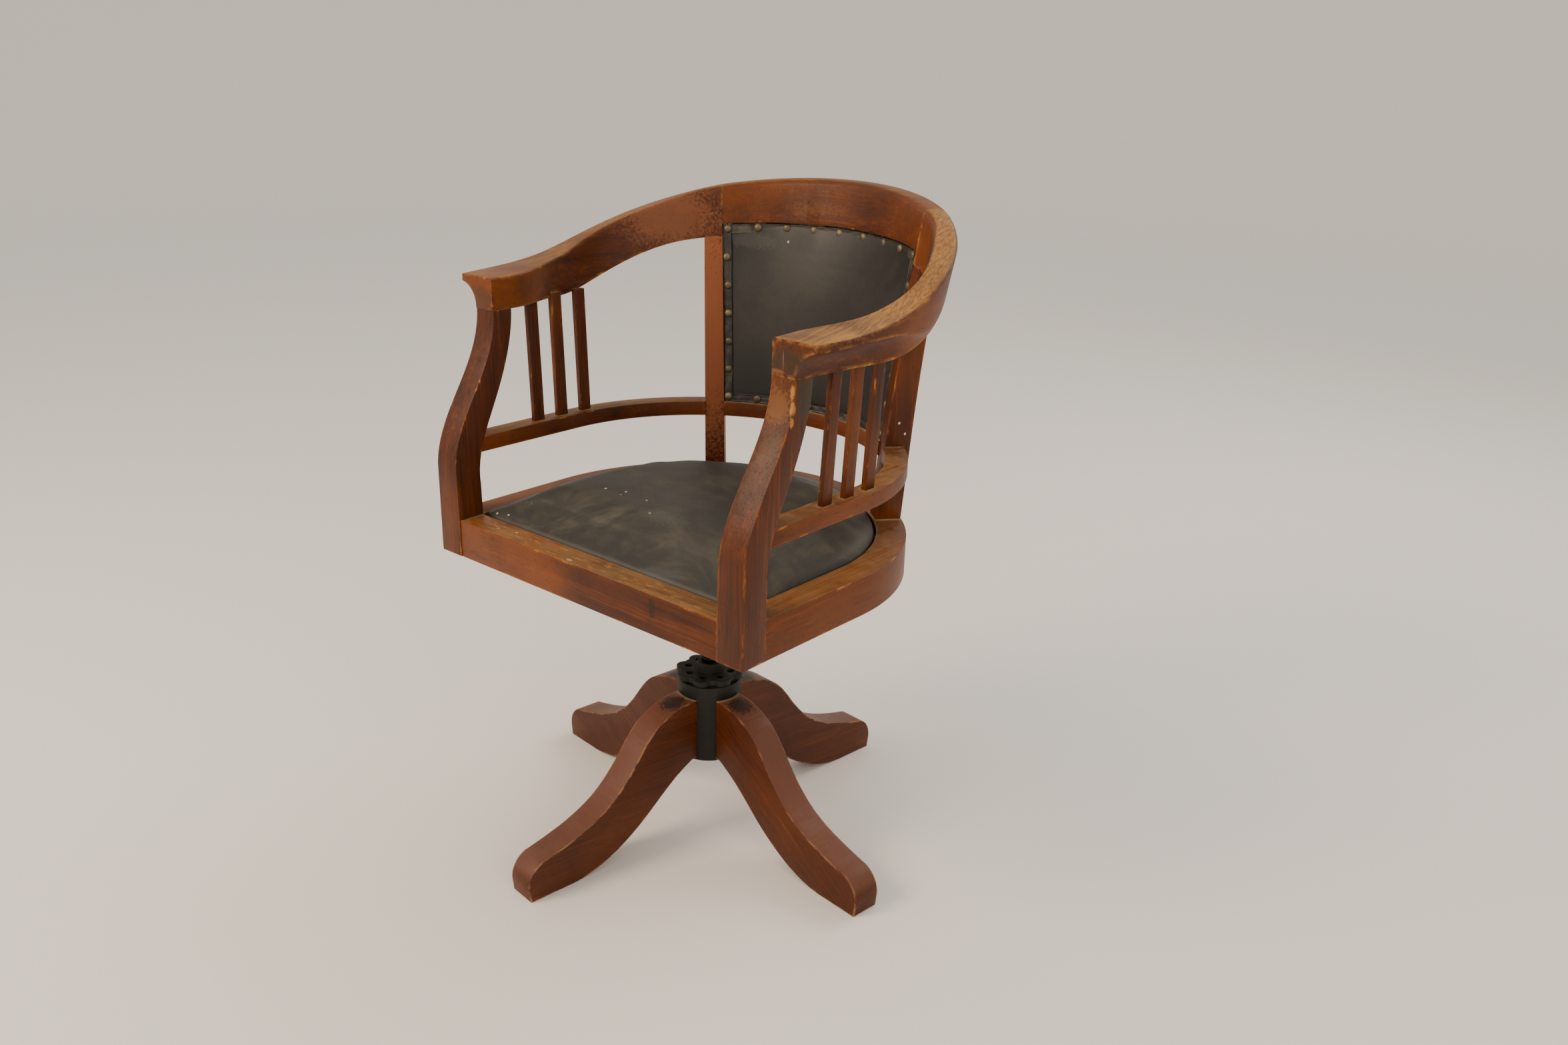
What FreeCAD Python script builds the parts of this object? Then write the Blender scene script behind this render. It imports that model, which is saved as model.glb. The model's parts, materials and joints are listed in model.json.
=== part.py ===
import FreeCAD, Part
import math
import os

vec = FreeCAD.Vector

# A bankers swivel chair: an oak horseshoe frame on a lobed handwheel and a four-legged base.
# Millimetres and degrees. The origin is on the floor under the swivel axis, +Z is up,
# and the sitter faces -Y. Angles of the ring are measured at its own centre, from +X.

# Seat ring
seat_rail_bottom = 430.5
seat_rail_height = 54.0
seat_ring_radius = 292.5
seat_rail_width = 43.0
seat_front = 254.3
front_rail_setback = 1.0
front_rail_depth = 39.5
ring_ahead = 20.0
back_rail_half_angle = 30.0

# Front posts
post_foot_inset = 1.2
post_width_foot = 43.0
post_width_top = 37.0
post_depth_foot = 41.0
post_depth_top = 31.0
post_top_drop = 44.9
post_top_setback = 81.5
post_elbow_rise = 90.5
post_shoulder_drop = 49.5

# Rear posts
rear_post_angle_foot = 51.3
rear_post_angle_top = 49.5
rear_post_width_foot = 31.0
rear_post_width_top = 28.0
rear_post_inset = 39.5
rear_post_head_inset = 10.0
rear_post_depth_foot = 38.0
rear_post_depth_top = 30.5
rear_post_belly = 6.5
rear_post_head = 14.0

# Arms and crest rail
crest_height = 944.0
arm_drop = 127.6
arm_rear_drop = 93.0
arm_width = 65.0
arm_reach_out = 28.5
arm_overhang = 1.0
crest_reach_out = 42.5
crest_thickness = 31.5
crest_depth = 67.0
crest_end_depth = 57.0
crest_end_rise = 0.86
crest_half_angle = 38.0
arm_face_rake = 0.15
arm_edge_round = 3.0
crest_edge_round = 9.0

# Middle rail and slats
middle_rail_rise = 89.0
middle_rail_height = 22.0
middle_rail_inset = 35.5
middle_rail_width = 31.5
slat_width = 19.0
slat_thickness = 8.0
slat_first_ahead = 86.0
slat_pitch = 45.0
slat_count = 3
slat_lean = 9.0
slat_tenon = 8.0

# Back panel
panel_set_back = 4.5
panel_board_thickness = 9.0
panel_pad_edge = 3.0
panel_pad_crown = 9.0
panel_cover_thickness = 1.5
trim_width = 13.0
trim_thickness = 1.5
panel_gap = 0.4
panel_front_room = 20.0
panel_top_overlap = 6.0

# Seat
bearer_width = 60.0
bearer_thickness = 28.0
bearer_spacing = 190.0
seat_board_thickness = 11.5
seat_board_gap = 0.5
opening_corner = 18.0
cushion_gap = 0.8
cushion_rise = 44.0
cushion_corner = 12.0
cushion_rim_share = 0.27
cushion_edge_power = 0.36
cushion_top_inset = 0.68
cushion_steps = 9
corner_block_leg = 62.0
corner_block_height = 38.0

# Lift and swivel
spindle_radius = 13.5
spindle_bottom = 112.0
spindle_collar = 392.0
spindle_collar_radius = 21.0
spindle_collar_height = 7.0
journal_radius = 11.0
running_clearance = 0.08
side_clearance = 0.3
keyway_width = 6.0
keyway_depth = 3.0
iron_boss_radius = 27.0
iron_boss_flare = 6.0
iron_arm_width = 26.0
iron_pad_radius = 18.7
iron_plate_thickness = 8.0
iron_arm_reach = 158.0
iron_screw_radius = 3.0
iron_screw_room = 0.2
iron_screw_length = 24.0
cap_nut_radius = 16.0
cap_nut_height = 9.0

# Handwheel
wheel_bottom = 239.0
wheel_thickness = 8.0
wheel_radius = 51.0
wheel_lobes = 8
wheel_turn = 26.7
wheel_lobe_radius = 13.0
wheel_hole_radius = 5.5
wheel_hole_circle = 33.0
wheel_boss_radius = 21.0
wheel_boss_height = 22.0
washer_thickness = 2.5
washer_radius = 40.0

# Base
leg_angle = -6.6
leg_width = 44.0
leg_reach = 340.0
leg_foot_length = 72.0
toe_height = 56.0
socket_radius = 47.5
socket_bottom = 119.0
socket_tube_radius = 23.5
flange_bottom = 215.0
flange_top = 236.0
leg_fit = 0.3
tie_plate_thickness = 5.0
bush_wall = 6.0
bolt_radius = 4.0
bolt_head_radius = 8.0
bolt_circle = 35.5
bolt_clearance = 0.3
nut_width = 13.0
nut_height = 6.5

# Dowels
dowel_radius = 5.0
dowel_length = 44.0

# How far a shape drawn only to cut with stands out past what it cuts
saw_reach = 80.0

# Heights and radii that follow from them
seat_top = seat_rail_bottom + seat_rail_height
seat_inner_radius = seat_ring_radius - seat_rail_width
ring_centre = -ring_ahead
post_outer_top = seat_ring_radius
post_outer_foot = post_outer_top - post_foot_inset
rear_post_inner_foot = seat_ring_radius - rear_post_inset
crest_outer_radius = seat_ring_radius + crest_reach_out
crest_inner_radius = crest_outer_radius - crest_thickness
arm_front_outer = post_outer_top + arm_reach_out
arm_front_inner = arm_front_outer - arm_width
arm_height = crest_height - arm_drop
arm_rear_bottom = crest_height - arm_rear_drop
post_top = arm_height - post_top_drop
post_shoulder_height = post_top - post_shoulder_drop
post_elbow_height = seat_top + post_elbow_rise
middle_rail_inner = seat_ring_radius - middle_rail_inset
middle_rail_bottom = seat_top + middle_rail_rise
slat_first = -slat_first_ahead
panel_top = crest_height - crest_depth + panel_top_overlap
post_back = -seat_front + post_depth_foot
rail_inner_front = -seat_front + front_rail_setback + front_rail_depth
middle_rail_top = middle_rail_bottom + middle_rail_height
middle_rail_outer = middle_rail_inner + middle_rail_width
middle_rail_centre = middle_rail_inner + middle_rail_width / 2
seat_board_bottom = seat_rail_bottom + bearer_thickness
seat_board_top = seat_board_bottom + seat_board_thickness
spindle_collar_top = spindle_collar + spindle_collar_height
post_top_front = -seat_front + post_top_setback
post_top_back = post_top_front + post_depth_top
tie_plate_bottom = socket_bottom - tie_plate_thickness
washer_top = flange_top + washer_thickness

parts = {}


def line(start, end):
    return Part.LineSegment(start, end).toShape()


def arc(start, middle, end):
    return Part.Arc(start, middle, end).toShape()


def curve(points):
    spline = Part.BSplineCurve()
    spline.interpolate(points)
    return spline.toShape()


def loop(corners):
    return [line(corners[i - 1], corners[i]) for i in range(len(corners))]


def prism(edges, direction):
    return Part.Face(Part.Wire(edges)).extrude(direction)


def cylinder(radius, low, high, x=0.0, y=0.0):
    return Part.makeCylinder(radius, high - low, vec(x, y, low))


def mirrored(shape):
    return shape.mirror(vec(0, 0, 0), vec(1, 0, 0))


def turned(shape, angle):
    copy = shape.copy()
    copy.rotate(vec(0, 0, 0), vec(0, 0, 1), angle)
    return copy


def ring_point(radius, angle, height):
    turn = math.radians(angle)
    return vec(radius * math.cos(turn), ring_centre + radius * math.sin(turn), height)


def tangent_at(angle):
    turn = math.radians(angle)
    return vec(-math.sin(turn), math.cos(turn), 0)


def blend(low, high, share):
    return low + (high - low) * share


# A horseshoe band in plan: two straight sides that run into half a ring
def horseshoe(inner, outer, inner_front, outer_front, front, low, height):
    def at(x, y):
        return vec(x, y, low)
    back = ring_centre
    slant = math.sqrt(0.5)
    edges = [line(at(outer_front, front), at(outer, back))]
    edges.append(arc(at(outer, back), at(outer * slant, back + outer * slant), at(0, back + outer)))
    edges.append(arc(at(0, back + outer), at(-outer * slant, back + outer * slant), at(-outer, back)))
    edges.append(line(at(-outer, back), at(-outer_front, front)))
    edges.append(line(at(-outer_front, front), at(-inner_front, front)))
    edges.append(line(at(-inner_front, front), at(-inner, back)))
    edges.append(arc(at(-inner, back), at(-inner * slant, back + inner * slant), at(0, back + inner)))
    edges.append(arc(at(0, back + inner), at(inner * slant, back + inner * slant), at(inner, back)))
    edges.append(line(at(inner, back), at(inner_front, front)))
    edges.append(line(at(inner_front, front), at(outer_front, front)))
    return prism(edges, vec(0, 0, height))


# The D-shaped plan of the seat opening, drawn in by an inset
def seat_outline(inset, height, corner):
    half = seat_inner_radius - inset
    front = rail_inner_front + inset
    slant = math.sqrt(0.5)
    bow = corner * (1 - slant)
    back = ring_centre

    def at(x, y):
        return vec(x, y, height)
    edges = [line(at(-half + corner, front), at(half - corner, front))]
    edges.append(arc(at(half - corner, front), at(half - bow, front + bow), at(half, front + corner)))
    edges.append(line(at(half, front + corner), at(half, back)))
    edges.append(arc(at(half, back), at(half * slant, back + half * slant), at(0, back + half)))
    edges.append(arc(at(0, back + half), at(-half * slant, back + half * slant), at(-half, back)))
    edges.append(line(at(-half, back), at(-half, front + corner)))
    edges.append(arc(at(-half, front + corner), at(-half + bow, front + bow), at(-half + corner, front)))
    return Part.Wire(edges)


# A vertical wedge with its edge at the ring's centre, for cutting rings into lengths
def wedge(half_angle, low, high):
    reach = 2 * crest_outer_radius
    centre = vec(0, ring_centre, low)
    left = ring_point(reach, 90 + half_angle, low)
    right = ring_point(reach, 90 - half_angle, low)
    return prism(loop([centre, right, left]), vec(0, 0, high - low))


def pick(shape, sign):
    return [solid for solid in shape.Solids if solid.CenterOfMass.x * sign > 1.0][0]


# The front post's curved side profile, as a prism that reaches to both sides
def front_post_profile():
    def at(y, z):
        return vec(0, y, z)
    front = -seat_front
    shoulder_front = blend(front, post_top_front, 0.92)
    shoulder_back = blend(post_back, post_top_back, 0.88)
    elbow_drop = post_depth_foot * 0.62
    foot = at(front, seat_rail_bottom)
    elbow_low = at(front, post_elbow_height - 15)
    elbow = at(blend(front, post_top_front, 0.11), post_elbow_height + elbow_drop)
    sweep = at(blend(front, post_top_front, 0.56), blend(post_elbow_height, post_shoulder_height, 0.64))
    shoulder = at(shoulder_front, post_shoulder_height + 8)
    top_front = at(post_top_front, post_top)
    top_back = at(post_top_back, post_top)
    back_shoulder = at(shoulder_back, post_shoulder_height - 4)
    back_sweep = at(blend(post_back, post_top_back, 0.5), blend(post_elbow_height, post_shoulder_height, 0.5))
    back_elbow = at(blend(post_back, post_top_back, 0.06), post_elbow_height)
    back_low = at(post_back, post_elbow_height - 45)
    back_foot = at(post_back, seat_rail_bottom)
    edges = [line(foot, elbow_low)]
    edges.append(curve([elbow_low, elbow, sweep, shoulder, top_front]))
    edges.append(line(top_front, top_back))
    edges.append(curve([top_back, back_shoulder, back_sweep, back_elbow, back_low]))
    edges.append(line(back_low, back_foot))
    edges.append(line(back_foot, foot))
    reach = post_outer_top + post_width_foot
    profile = prism(edges, vec(2 * reach, 0, 0))
    profile.translate(vec(-reach, 0, 0))
    return profile


# Front post: the profile sawn to a taper in its front view
def front_post():
    def face(x, z):
        return vec(x, -2 * seat_front, z)
    corners = [face(post_outer_foot, seat_rail_bottom), face(post_outer_top, post_top),
               face(post_outer_top - post_width_top, post_top),
               face(post_outer_foot - post_width_foot, seat_top),
               face(post_outer_foot - post_width_foot, seat_rail_bottom)]
    taper = prism(loop(corners), vec(0, 4 * seat_front, 0))
    return front_post_profile().common(taper).Solids[0]


# Rear post: a loft of upright rectangles that rake back and close in on the crest
def rear_post_radii(height):
    share = (height - seat_top) / (arm_rear_bottom - seat_top)
    rake = 0.62 * share + 0.38 * share ** 3
    inner = blend(rear_post_inner_foot, crest_inner_radius - rear_post_head_inset, rake)
    depth = blend(rear_post_depth_foot, rear_post_depth_top, share) + rear_post_belly * share * (1 - share)
    return inner, inner + depth


def rear_post(extra_inner=0.0, extra_outer=0.0, extra_side=0.0, low=None, high=None):
    low = seat_top if low is None else low
    high = arm_rear_bottom + rear_post_head if high is None else high
    wires = []
    steps = 5
    for step in range(steps):
        height = blend(low, high, step / (steps - 1))
        share = (height - seat_top) / (arm_rear_bottom - seat_top)
        inner, outer = rear_post_radii(height)
        angle = blend(rear_post_angle_foot, rear_post_angle_top, share)
        side = tangent_at(angle) * (blend(rear_post_width_foot, rear_post_width_top, share) / 2 + extra_side)
        near = ring_point(inner - extra_inner, angle, height)
        far = ring_point(outer + extra_outer, angle, height)
        corners = [near - side, far - side, far + side, near + side]
        wires.append(Part.Wire(loop(corners)))
    return Part.makeLoft(wires, True, False)


# One cross-section of the arm or crest, in a vertical plane through the ring's centre or square to the arm
def rail_section(place, inner, outer, top, bottom, nose, foot, rake, inner_round, outer_round, cove):
    on_ring, where = place

    def at(radius, height):
        if on_ring:
            return ring_point(radius, where, height)
        return vec(radius, where, height)
    slant = 1 - math.sqrt(0.5)
    inner_low = at(inner - rake * (top - bottom), bottom)
    inner_high = at(inner - rake * inner_round, top - inner_round)
    top_in = at(inner + inner_round, top)
    top_out = at(outer - outer_round, top)
    outer_high = at(outer, top - outer_round)
    nose_low = at(outer - rake * nose, top - nose)
    foot_out = at(foot, bottom)
    hollow = at(blend(foot, outer - rake * nose, 0.5 - 0.2 * cove),
                blend(bottom, top - nose, 0.5 + 0.2 * cove))
    edges = [line(inner_low, inner_high)]
    edges.append(arc(inner_high, at(inner + inner_round * slant, top - inner_round * slant), top_in))
    edges.append(line(top_in, top_out))
    edges.append(arc(top_out, at(outer - outer_round * slant, top - outer_round * slant), outer_high))
    edges.append(line(outer_high, nose_low))
    edges.append(arc(nose_low, hollow, foot_out))
    edges.append(line(foot_out, inner_low))
    return Part.Wire(edges)


# Each row is a place along the arm with its shares of: the inner edge's run from the front to the
# crest, the outer edge's, the rise of the top, the rise of the bottom, the depth of the nose,
# the foot's outer edge, the rake of the faces, the roundness of the top and the hollow under the nose
arm_rows = [
    [False, 0.00, 0.00, 0.00, 0.000, 0.000, 0.00, 0.00, 0.0, 0.0, 1.0],
    [False, 0.15, 0.01, 0.32, 0.005, 0.000, 0.00, 0.05, 0.0, 0.0, 1.0],
    [False, 0.41, 0.08, 0.66, 0.018, 0.000, 0.01, 0.17, 0.0, 0.0, 1.0],
    [False, 0.67, 0.37, 0.78, 0.046, 0.005, 0.06, 0.33, 0.0, 0.0, 1.0],
    [False, 1.00, 0.65, 0.80, 0.114, 0.015, 0.24, 0.55, 0.2, 0.0, 0.8],
    [True, 12.0, 0.93, 0.86, 0.290, 0.210, 0.80, 0.85, 0.6, 0.1, 0.3],
    [True, 25.0, 0.98, 1.00, 0.510, 0.590, 0.85, 0.98, 1.0, 0.4, 0.1],
    [True, 38.0, 1.00, 1.00, 0.700, 0.860, 0.92, 1.00, 1.0, 0.8, 0.1],
    [True, 90.0 - crest_half_angle, 1.00, 1.00, crest_end_rise, 1.000, 1.05, 1.00, 1.0, 1.0, 0.1],
]
arm_nose_front = 10.4
arm_nose_rear = 60.0
crest_foot_radius = crest_outer_radius - 10.0


def arm_section_sizes():
    front = post_top_front - arm_overhang
    for on_ring, where, in_share, out_share, rise, lift, nose, foot, rake, soft, cove in arm_rows:
        yield {
            "place": (on_ring, where if on_ring else blend(front, ring_centre, where)),
            "inner": blend(arm_front_inner, crest_inner_radius, in_share),
            "outer": blend(arm_front_outer, crest_outer_radius, out_share),
            "top": blend(arm_height, crest_height, rise),
            "bottom": blend(post_top, arm_rear_bottom, lift),
            "nose": blend(arm_nose_front, arm_nose_rear, nose),
            "foot": blend(post_outer_top, crest_foot_radius, foot),
            "rake": rake * arm_face_rake,
            "inner_round": blend(arm_edge_round, crest_edge_round, soft),
            "outer_round": blend(arm_edge_round, crest_edge_round - 1, soft),
            "cove": cove,
        }


def arm():
    return Part.makeLoft([rail_section(**sizes) for sizes in arm_section_sizes()], True, False)


# Everything above the underside of the rear half of the arm, drawn wide, to saw the rear post off to fit
def arm_roof():
    wires = []
    for sizes in arm_section_sizes():
        on_ring, angle = sizes["place"]
        if not on_ring:
            continue
        near = sizes["inner"] - saw_reach
        far = sizes["outer"] + saw_reach
        low = sizes["bottom"]
        high = low + saw_reach
        corners = [ring_point(near, angle, low), ring_point(far, angle, low),
                   ring_point(far, angle, high), ring_point(near, angle, high)]
        wires.append(Part.Wire(loop(corners)))
    return Part.makeLoft(wires, True, False)


def crest_rail():
    wires = []
    end_height = blend(arm_height, crest_height, crest_end_rise)
    end_bottom = end_height - crest_end_depth
    steps = 8
    for step in range(steps + 1):
        angle = 90 - crest_half_angle + 2 * crest_half_angle * step / steps
        share = 1 - ((angle - 90) / crest_half_angle) ** 2
        top = blend(end_height, crest_height, share)
        bottom = blend(end_bottom, crest_height - crest_depth, share)
        nose = top - bottom - 6.0
        wires.append(rail_section(
            (True, angle), crest_inner_radius, crest_outer_radius, top, bottom, nose,
            crest_foot_radius, arm_face_rake, crest_edge_round, crest_edge_round - 1, 0.1))
    return Part.makeLoft(wires, True, False)


def slat(index):
    centre = slat_first + slat_pitch * index
    low = middle_rail_top - slat_tenon
    high = post_top + slat_tenon
    wires = []
    for height, x in [(low, middle_rail_centre), (high, middle_rail_centre + slat_lean)]:
        bend = math.sqrt(middle_rail_centre ** 2 - max(0.0, centre - ring_centre) ** 2) - middle_rail_centre
        near = x + bend - slat_thickness / 2
        far = near + slat_thickness
        corners = [vec(near, centre - slat_width / 2, height), vec(far, centre - slat_width / 2, height),
                   vec(far, centre + slat_width / 2, height), vec(near, centre + slat_width / 2, height)]
        wires.append(Part.Wire(loop(corners)))
    return Part.makeLoft(wires, True, True)


# The back panel is a stack of leaning shells between the rear posts
def panel_radius(height):
    low_inner = rear_post_radii(middle_rail_top)[0]
    top_inner = crest_inner_radius - arm_face_rake * crest_depth
    share = (height - middle_rail_top) / (crest_height - crest_depth - middle_rail_top)
    return blend(low_inner, top_inner, share) + panel_set_back


def panel_layer(start, thickness, low, high):
    left, right = 90 + crest_half_angle + 4, 90 - crest_half_angle - 4
    wires = []
    for height in [low, high]:
        near = panel_radius(height) + start
        far = near + thickness
        near_right, near_left = ring_point(near, right, height), ring_point(near, left, height)
        far_right, far_left = ring_point(far, right, height), ring_point(far, left, height)
        edges = [arc(near_right, ring_point(near, 90, height), near_left)]
        edges.append(line(near_left, far_left))
        edges.append(arc(far_left, ring_point(far, 90, height), far_right))
        edges.append(line(far_right, near_right))
        wires.append(Part.Wire(edges))
    return Part.makeLoft(wires, True, True)


def middle_solid(shape):
    return max(shape.Solids, key=lambda solid: solid.Volume)


def back_panel(posts_cutter, crest):
    low = middle_rail_top
    high = panel_top
    board = panel_layer(panel_pad_edge, panel_board_thickness, low, high)
    cover_start = panel_pad_edge + panel_board_thickness
    cover = panel_layer(cover_start, panel_cover_thickness, low, high)
    parts["back_board"] = middle_solid(board.cut(crest).cut(posts_cutter))
    parts["back_outside_cover"] = middle_solid(cover.cut(crest).cut(posts_cutter))
    strip = panel_layer(-trim_thickness, trim_thickness, low, high)
    strip = middle_solid(strip.cut(crest).cut(posts_cutter))
    window = panel_layer(-panel_front_room, panel_front_room + trim_thickness, low + trim_width,
                         high + saw_reach)
    side_cutter = rear_post(saw_reach, saw_reach, trim_width, low - saw_reach, high + saw_reach)
    crest_shadow = crest.copy()
    crest_shadow.translate(vec(0, 0, -trim_width))
    window = middle_solid(window.cut(side_cutter).cut(mirrored(side_cutter)).cut(crest_shadow.fuse(crest)))
    rebate = panel_layer(-panel_front_room, panel_front_room, low, high).cut(window)
    parts["back_edging"] = middle_solid(strip.cut(window))
    parts["back_pad"] = middle_solid(back_pad(low, posts_cutter, crest).cut(rebate))


# The pad's section at each height is an arc in front of the board that bulges most in the middle
def back_pad(low, posts_cutter, crest):
    high = panel_top
    left, right = 90 + crest_half_angle - 2, 90 - crest_half_angle + 2
    wires = []
    steps = 6
    for step in range(steps + 1):
        share = step / steps
        height = blend(low, high, share)
        edge = panel_radius(height)
        board_face = edge + panel_pad_edge
        swell = panel_pad_crown * (1 - (2 * share - 1) ** 4)
        crown = edge - swell
        front_left, front_right = ring_point(edge, left, height), ring_point(edge, right, height)
        board_left, board_right = ring_point(board_face, left, height), ring_point(board_face, right, height)
        edges = [arc(front_right, ring_point(crown, 90, height), front_left)]
        edges.append(line(front_left, board_left))
        edges.append(arc(board_left, ring_point(board_face, 90, height), board_right))
        edges.append(line(board_right, front_right))
        wires.append(Part.Wire(edges))
    pad = Part.makeLoft(wires, True, False)
    return middle_solid(pad.cut(crest).cut(posts_cutter))


def dowel(centre, direction, length):
    start = centre - direction * (length / 2)
    return Part.makeCylinder(dowel_radius, length, start, direction)


def chair_frame():
    ring = horseshoe(seat_inner_radius, seat_ring_radius, seat_inner_radius, post_outer_foot,
                     post_back, seat_rail_bottom, seat_rail_height)
    back_wedge = wedge(back_rail_half_angle, seat_rail_bottom - 10, seat_top + 10)
    sides = ring.cut(back_wedge)
    seat_rails = {"side_seat_rail_right": pick(sides, 1), "side_seat_rail_left": pick(sides, -1)}
    seat_rails["back_seat_rail"] = middle_solid(ring.common(back_wedge))
    half_front = post_outer_foot - post_width_foot
    front_rail = Part.makeBox(2 * half_front, front_rail_depth, seat_rail_height,
                              vec(-half_front, -seat_front + front_rail_setback, seat_rail_bottom))
    seat_rails["front_seat_rail"] = front_rail

    post = front_post()
    back_post = rear_post()
    arm_right = arm()
    crest = crest_rail()
    back_post = middle_solid(back_post.cut(arm_roof()))
    arm_right = middle_solid(arm_right.cut(post).cut(back_post))

    middle_ring = horseshoe(middle_rail_inner, middle_rail_outer, middle_rail_inner, middle_rail_outer + 1.0,
                            -seat_front, middle_rail_bottom, middle_rail_height)
    wide_post = rear_post(saw_reach, saw_reach, 0.0)
    pieces = middle_ring.cut(front_post_profile()).cut(wide_post).cut(mirrored(wide_post))
    lengths = sorted(pieces.Solids, key=lambda solid: solid.Volume)[-3:]
    lengths.sort(key=lambda solid: solid.CenterOfMass.x)
    middle_rails = dict(zip(("middle_rail_left", "middle_rail_back", "middle_rail_right"), lengths))

    slats = [slat(index) for index in range(slat_count)]
    for index, piece in enumerate(slats):
        arm_right = arm_right.cut(piece)
        middle_rails["middle_rail_right"] = middle_rails["middle_rail_right"].cut(piece)
        middle_rails["middle_rail_left"] = middle_rails["middle_rail_left"].cut(mirrored(piece))
        parts["arm_slat_right_%d" % (index + 1)] = piece
        parts["arm_slat_left_%d" % (index + 1)] = mirrored(piece)

    dowels = []
    post_centre_x = post_outer_top - post_width_top / 2
    post_centre_y = (post_top_front + post_top_back) / 2
    dowels.append(dowel(vec(post_centre_x, post_centre_y, post_top), vec(0, 0, 1), dowel_length))
    rail_middle = seat_rail_bottom + seat_rail_height / 2
    side_x = (seat_inner_radius + post_outer_foot) / 2
    dowels.append(dowel(vec(side_x, post_back, rail_middle), vec(0, 1, 0), dowel_length))
    front_y = -seat_front + front_rail_setback + front_rail_depth / 2
    dowels.append(dowel(vec(half_front, front_y, rail_middle), vec(1, 0, 0), dowel_length))
    joint_angle = 90 - back_rail_half_angle
    joint = ring_point((seat_inner_radius + seat_ring_radius) / 2, joint_angle, rail_middle)
    dowels.append(dowel(joint, tangent_at(joint_angle), dowel_length))
    seam_angle = 90 - crest_half_angle
    seam_height = blend(arm_height, crest_height, crest_end_rise) - crest_end_depth / 2
    seam = ring_point((crest_inner_radius + crest_outer_radius) / 2 - 3, seam_angle, seam_height)
    dowels.append(dowel(seam, tangent_at(seam_angle), dowel_length))
    foot_inner, foot_outer = rear_post_radii(seat_top)
    foot = ring_point((foot_inner + foot_outer) / 2, rear_post_angle_foot, seat_top)
    dowels.append(dowel(foot, vec(0, 0, 1), dowel_length))
    top_inner, top_outer = rear_post_radii(arm_rear_bottom)
    top = ring_point((top_inner + top_outer) / 2, rear_post_angle_top, arm_rear_bottom)
    dowels.append(dowel(top, vec(0, 0, 1), dowel_length))
    right_dowels = Part.makeCompound(dowels)
    all_dowels = Part.makeCompound(dowels + [mirrored(piece) for piece in dowels])
    parts["frame_dowels"] = all_dowels

    for name, rail in seat_rails.items():
        parts[name] = middle_solid(rail.cut(all_dowels))
    post = middle_solid(post.cut(right_dowels))
    back_post = middle_solid(back_post.cut(right_dowels))
    arm_right = middle_solid(arm_right.cut(right_dowels))
    parts["front_post_right"] = post
    parts["front_post_left"] = mirrored(post)
    parts["rear_post_right"] = back_post
    parts["rear_post_left"] = mirrored(back_post)
    parts["arm_right"] = arm_right
    parts["arm_left"] = mirrored(arm_right)
    parts["crest_rail"] = middle_solid(crest.cut(all_dowels))
    for name, rail in middle_rails.items():
        parts[name] = middle_solid(rail)

    cutter = rear_post(saw_reach, saw_reach, panel_gap, middle_rail_bottom, arm_rear_bottom + saw_reach)
    both = cutter.fuse(mirrored(cutter))
    back_panel(both, crest)


# The cushion's outlines draw in quickly at first and then slowly, which gives a full edge and a flat crown
def seat_cushion():
    crown = seat_top + cushion_rise
    rim = blend(seat_board_top, crown, cushion_rim_share)
    widest = seat_inner_radius - cushion_gap
    wires = [seat_outline(cushion_gap, seat_board_top, cushion_corner)]
    for step in range(cushion_steps + 1):
        share = (step / cushion_steps) ** 2
        fullness = (1 - (1 - share) ** 2) ** cushion_edge_power
        inset = cushion_gap + share * cushion_top_inset * widest
        front_reach = ring_centre - rail_inner_front - inset
        wires.append(seat_outline(inset, blend(rim, crown, fullness), min(cushion_corner, 0.9 * front_reach)))
    return Part.makeLoft(wires, True, True)


def seat():
    opening = Part.Face(seat_outline(seat_board_gap, seat_board_bottom, opening_corner))
    parts["seat_board"] = opening.extrude(vec(0, 0, seat_board_thickness))
    parts["seat_cushion"] = seat_cushion()

    bearers = []
    opening = Part.Face(seat_outline(0.0, seat_rail_bottom, opening_corner))
    opening = opening.extrude(vec(0, 0, bearer_thickness))
    for side in (-1, 1):
        start = vec(side * bearer_spacing / 2 - bearer_width / 2, -2 * seat_front, seat_rail_bottom)
        box = Part.makeBox(bearer_width, 4 * seat_front, bearer_thickness, start)
        bearers.append(box.common(opening).cut(parts["frame_dowels"]))
    parts["seat_bearer_left"] = middle_solid(bearers[0])
    parts["seat_bearer_right"] = middle_solid(bearers[1])

    corner_x = post_outer_foot - post_width_foot
    low = seat_board_bottom - corner_block_height + bearer_thickness / 2
    low = max(low, seat_rail_bottom)
    tall = seat_board_bottom - low
    start = vec(corner_x, rail_inner_front, low)
    along = vec(corner_x - corner_block_leg, rail_inner_front, low)
    back = vec(corner_x, rail_inner_front + corner_block_leg, low)
    block = prism(loop([start, along, back]), vec(0, 0, tall))
    block = block.cut(parts["side_seat_rail_right"]).cut(parts["frame_dowels"])
    parts["corner_block_right"] = middle_solid(block)
    parts["corner_block_left"] = mirrored(parts["corner_block_right"])


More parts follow.
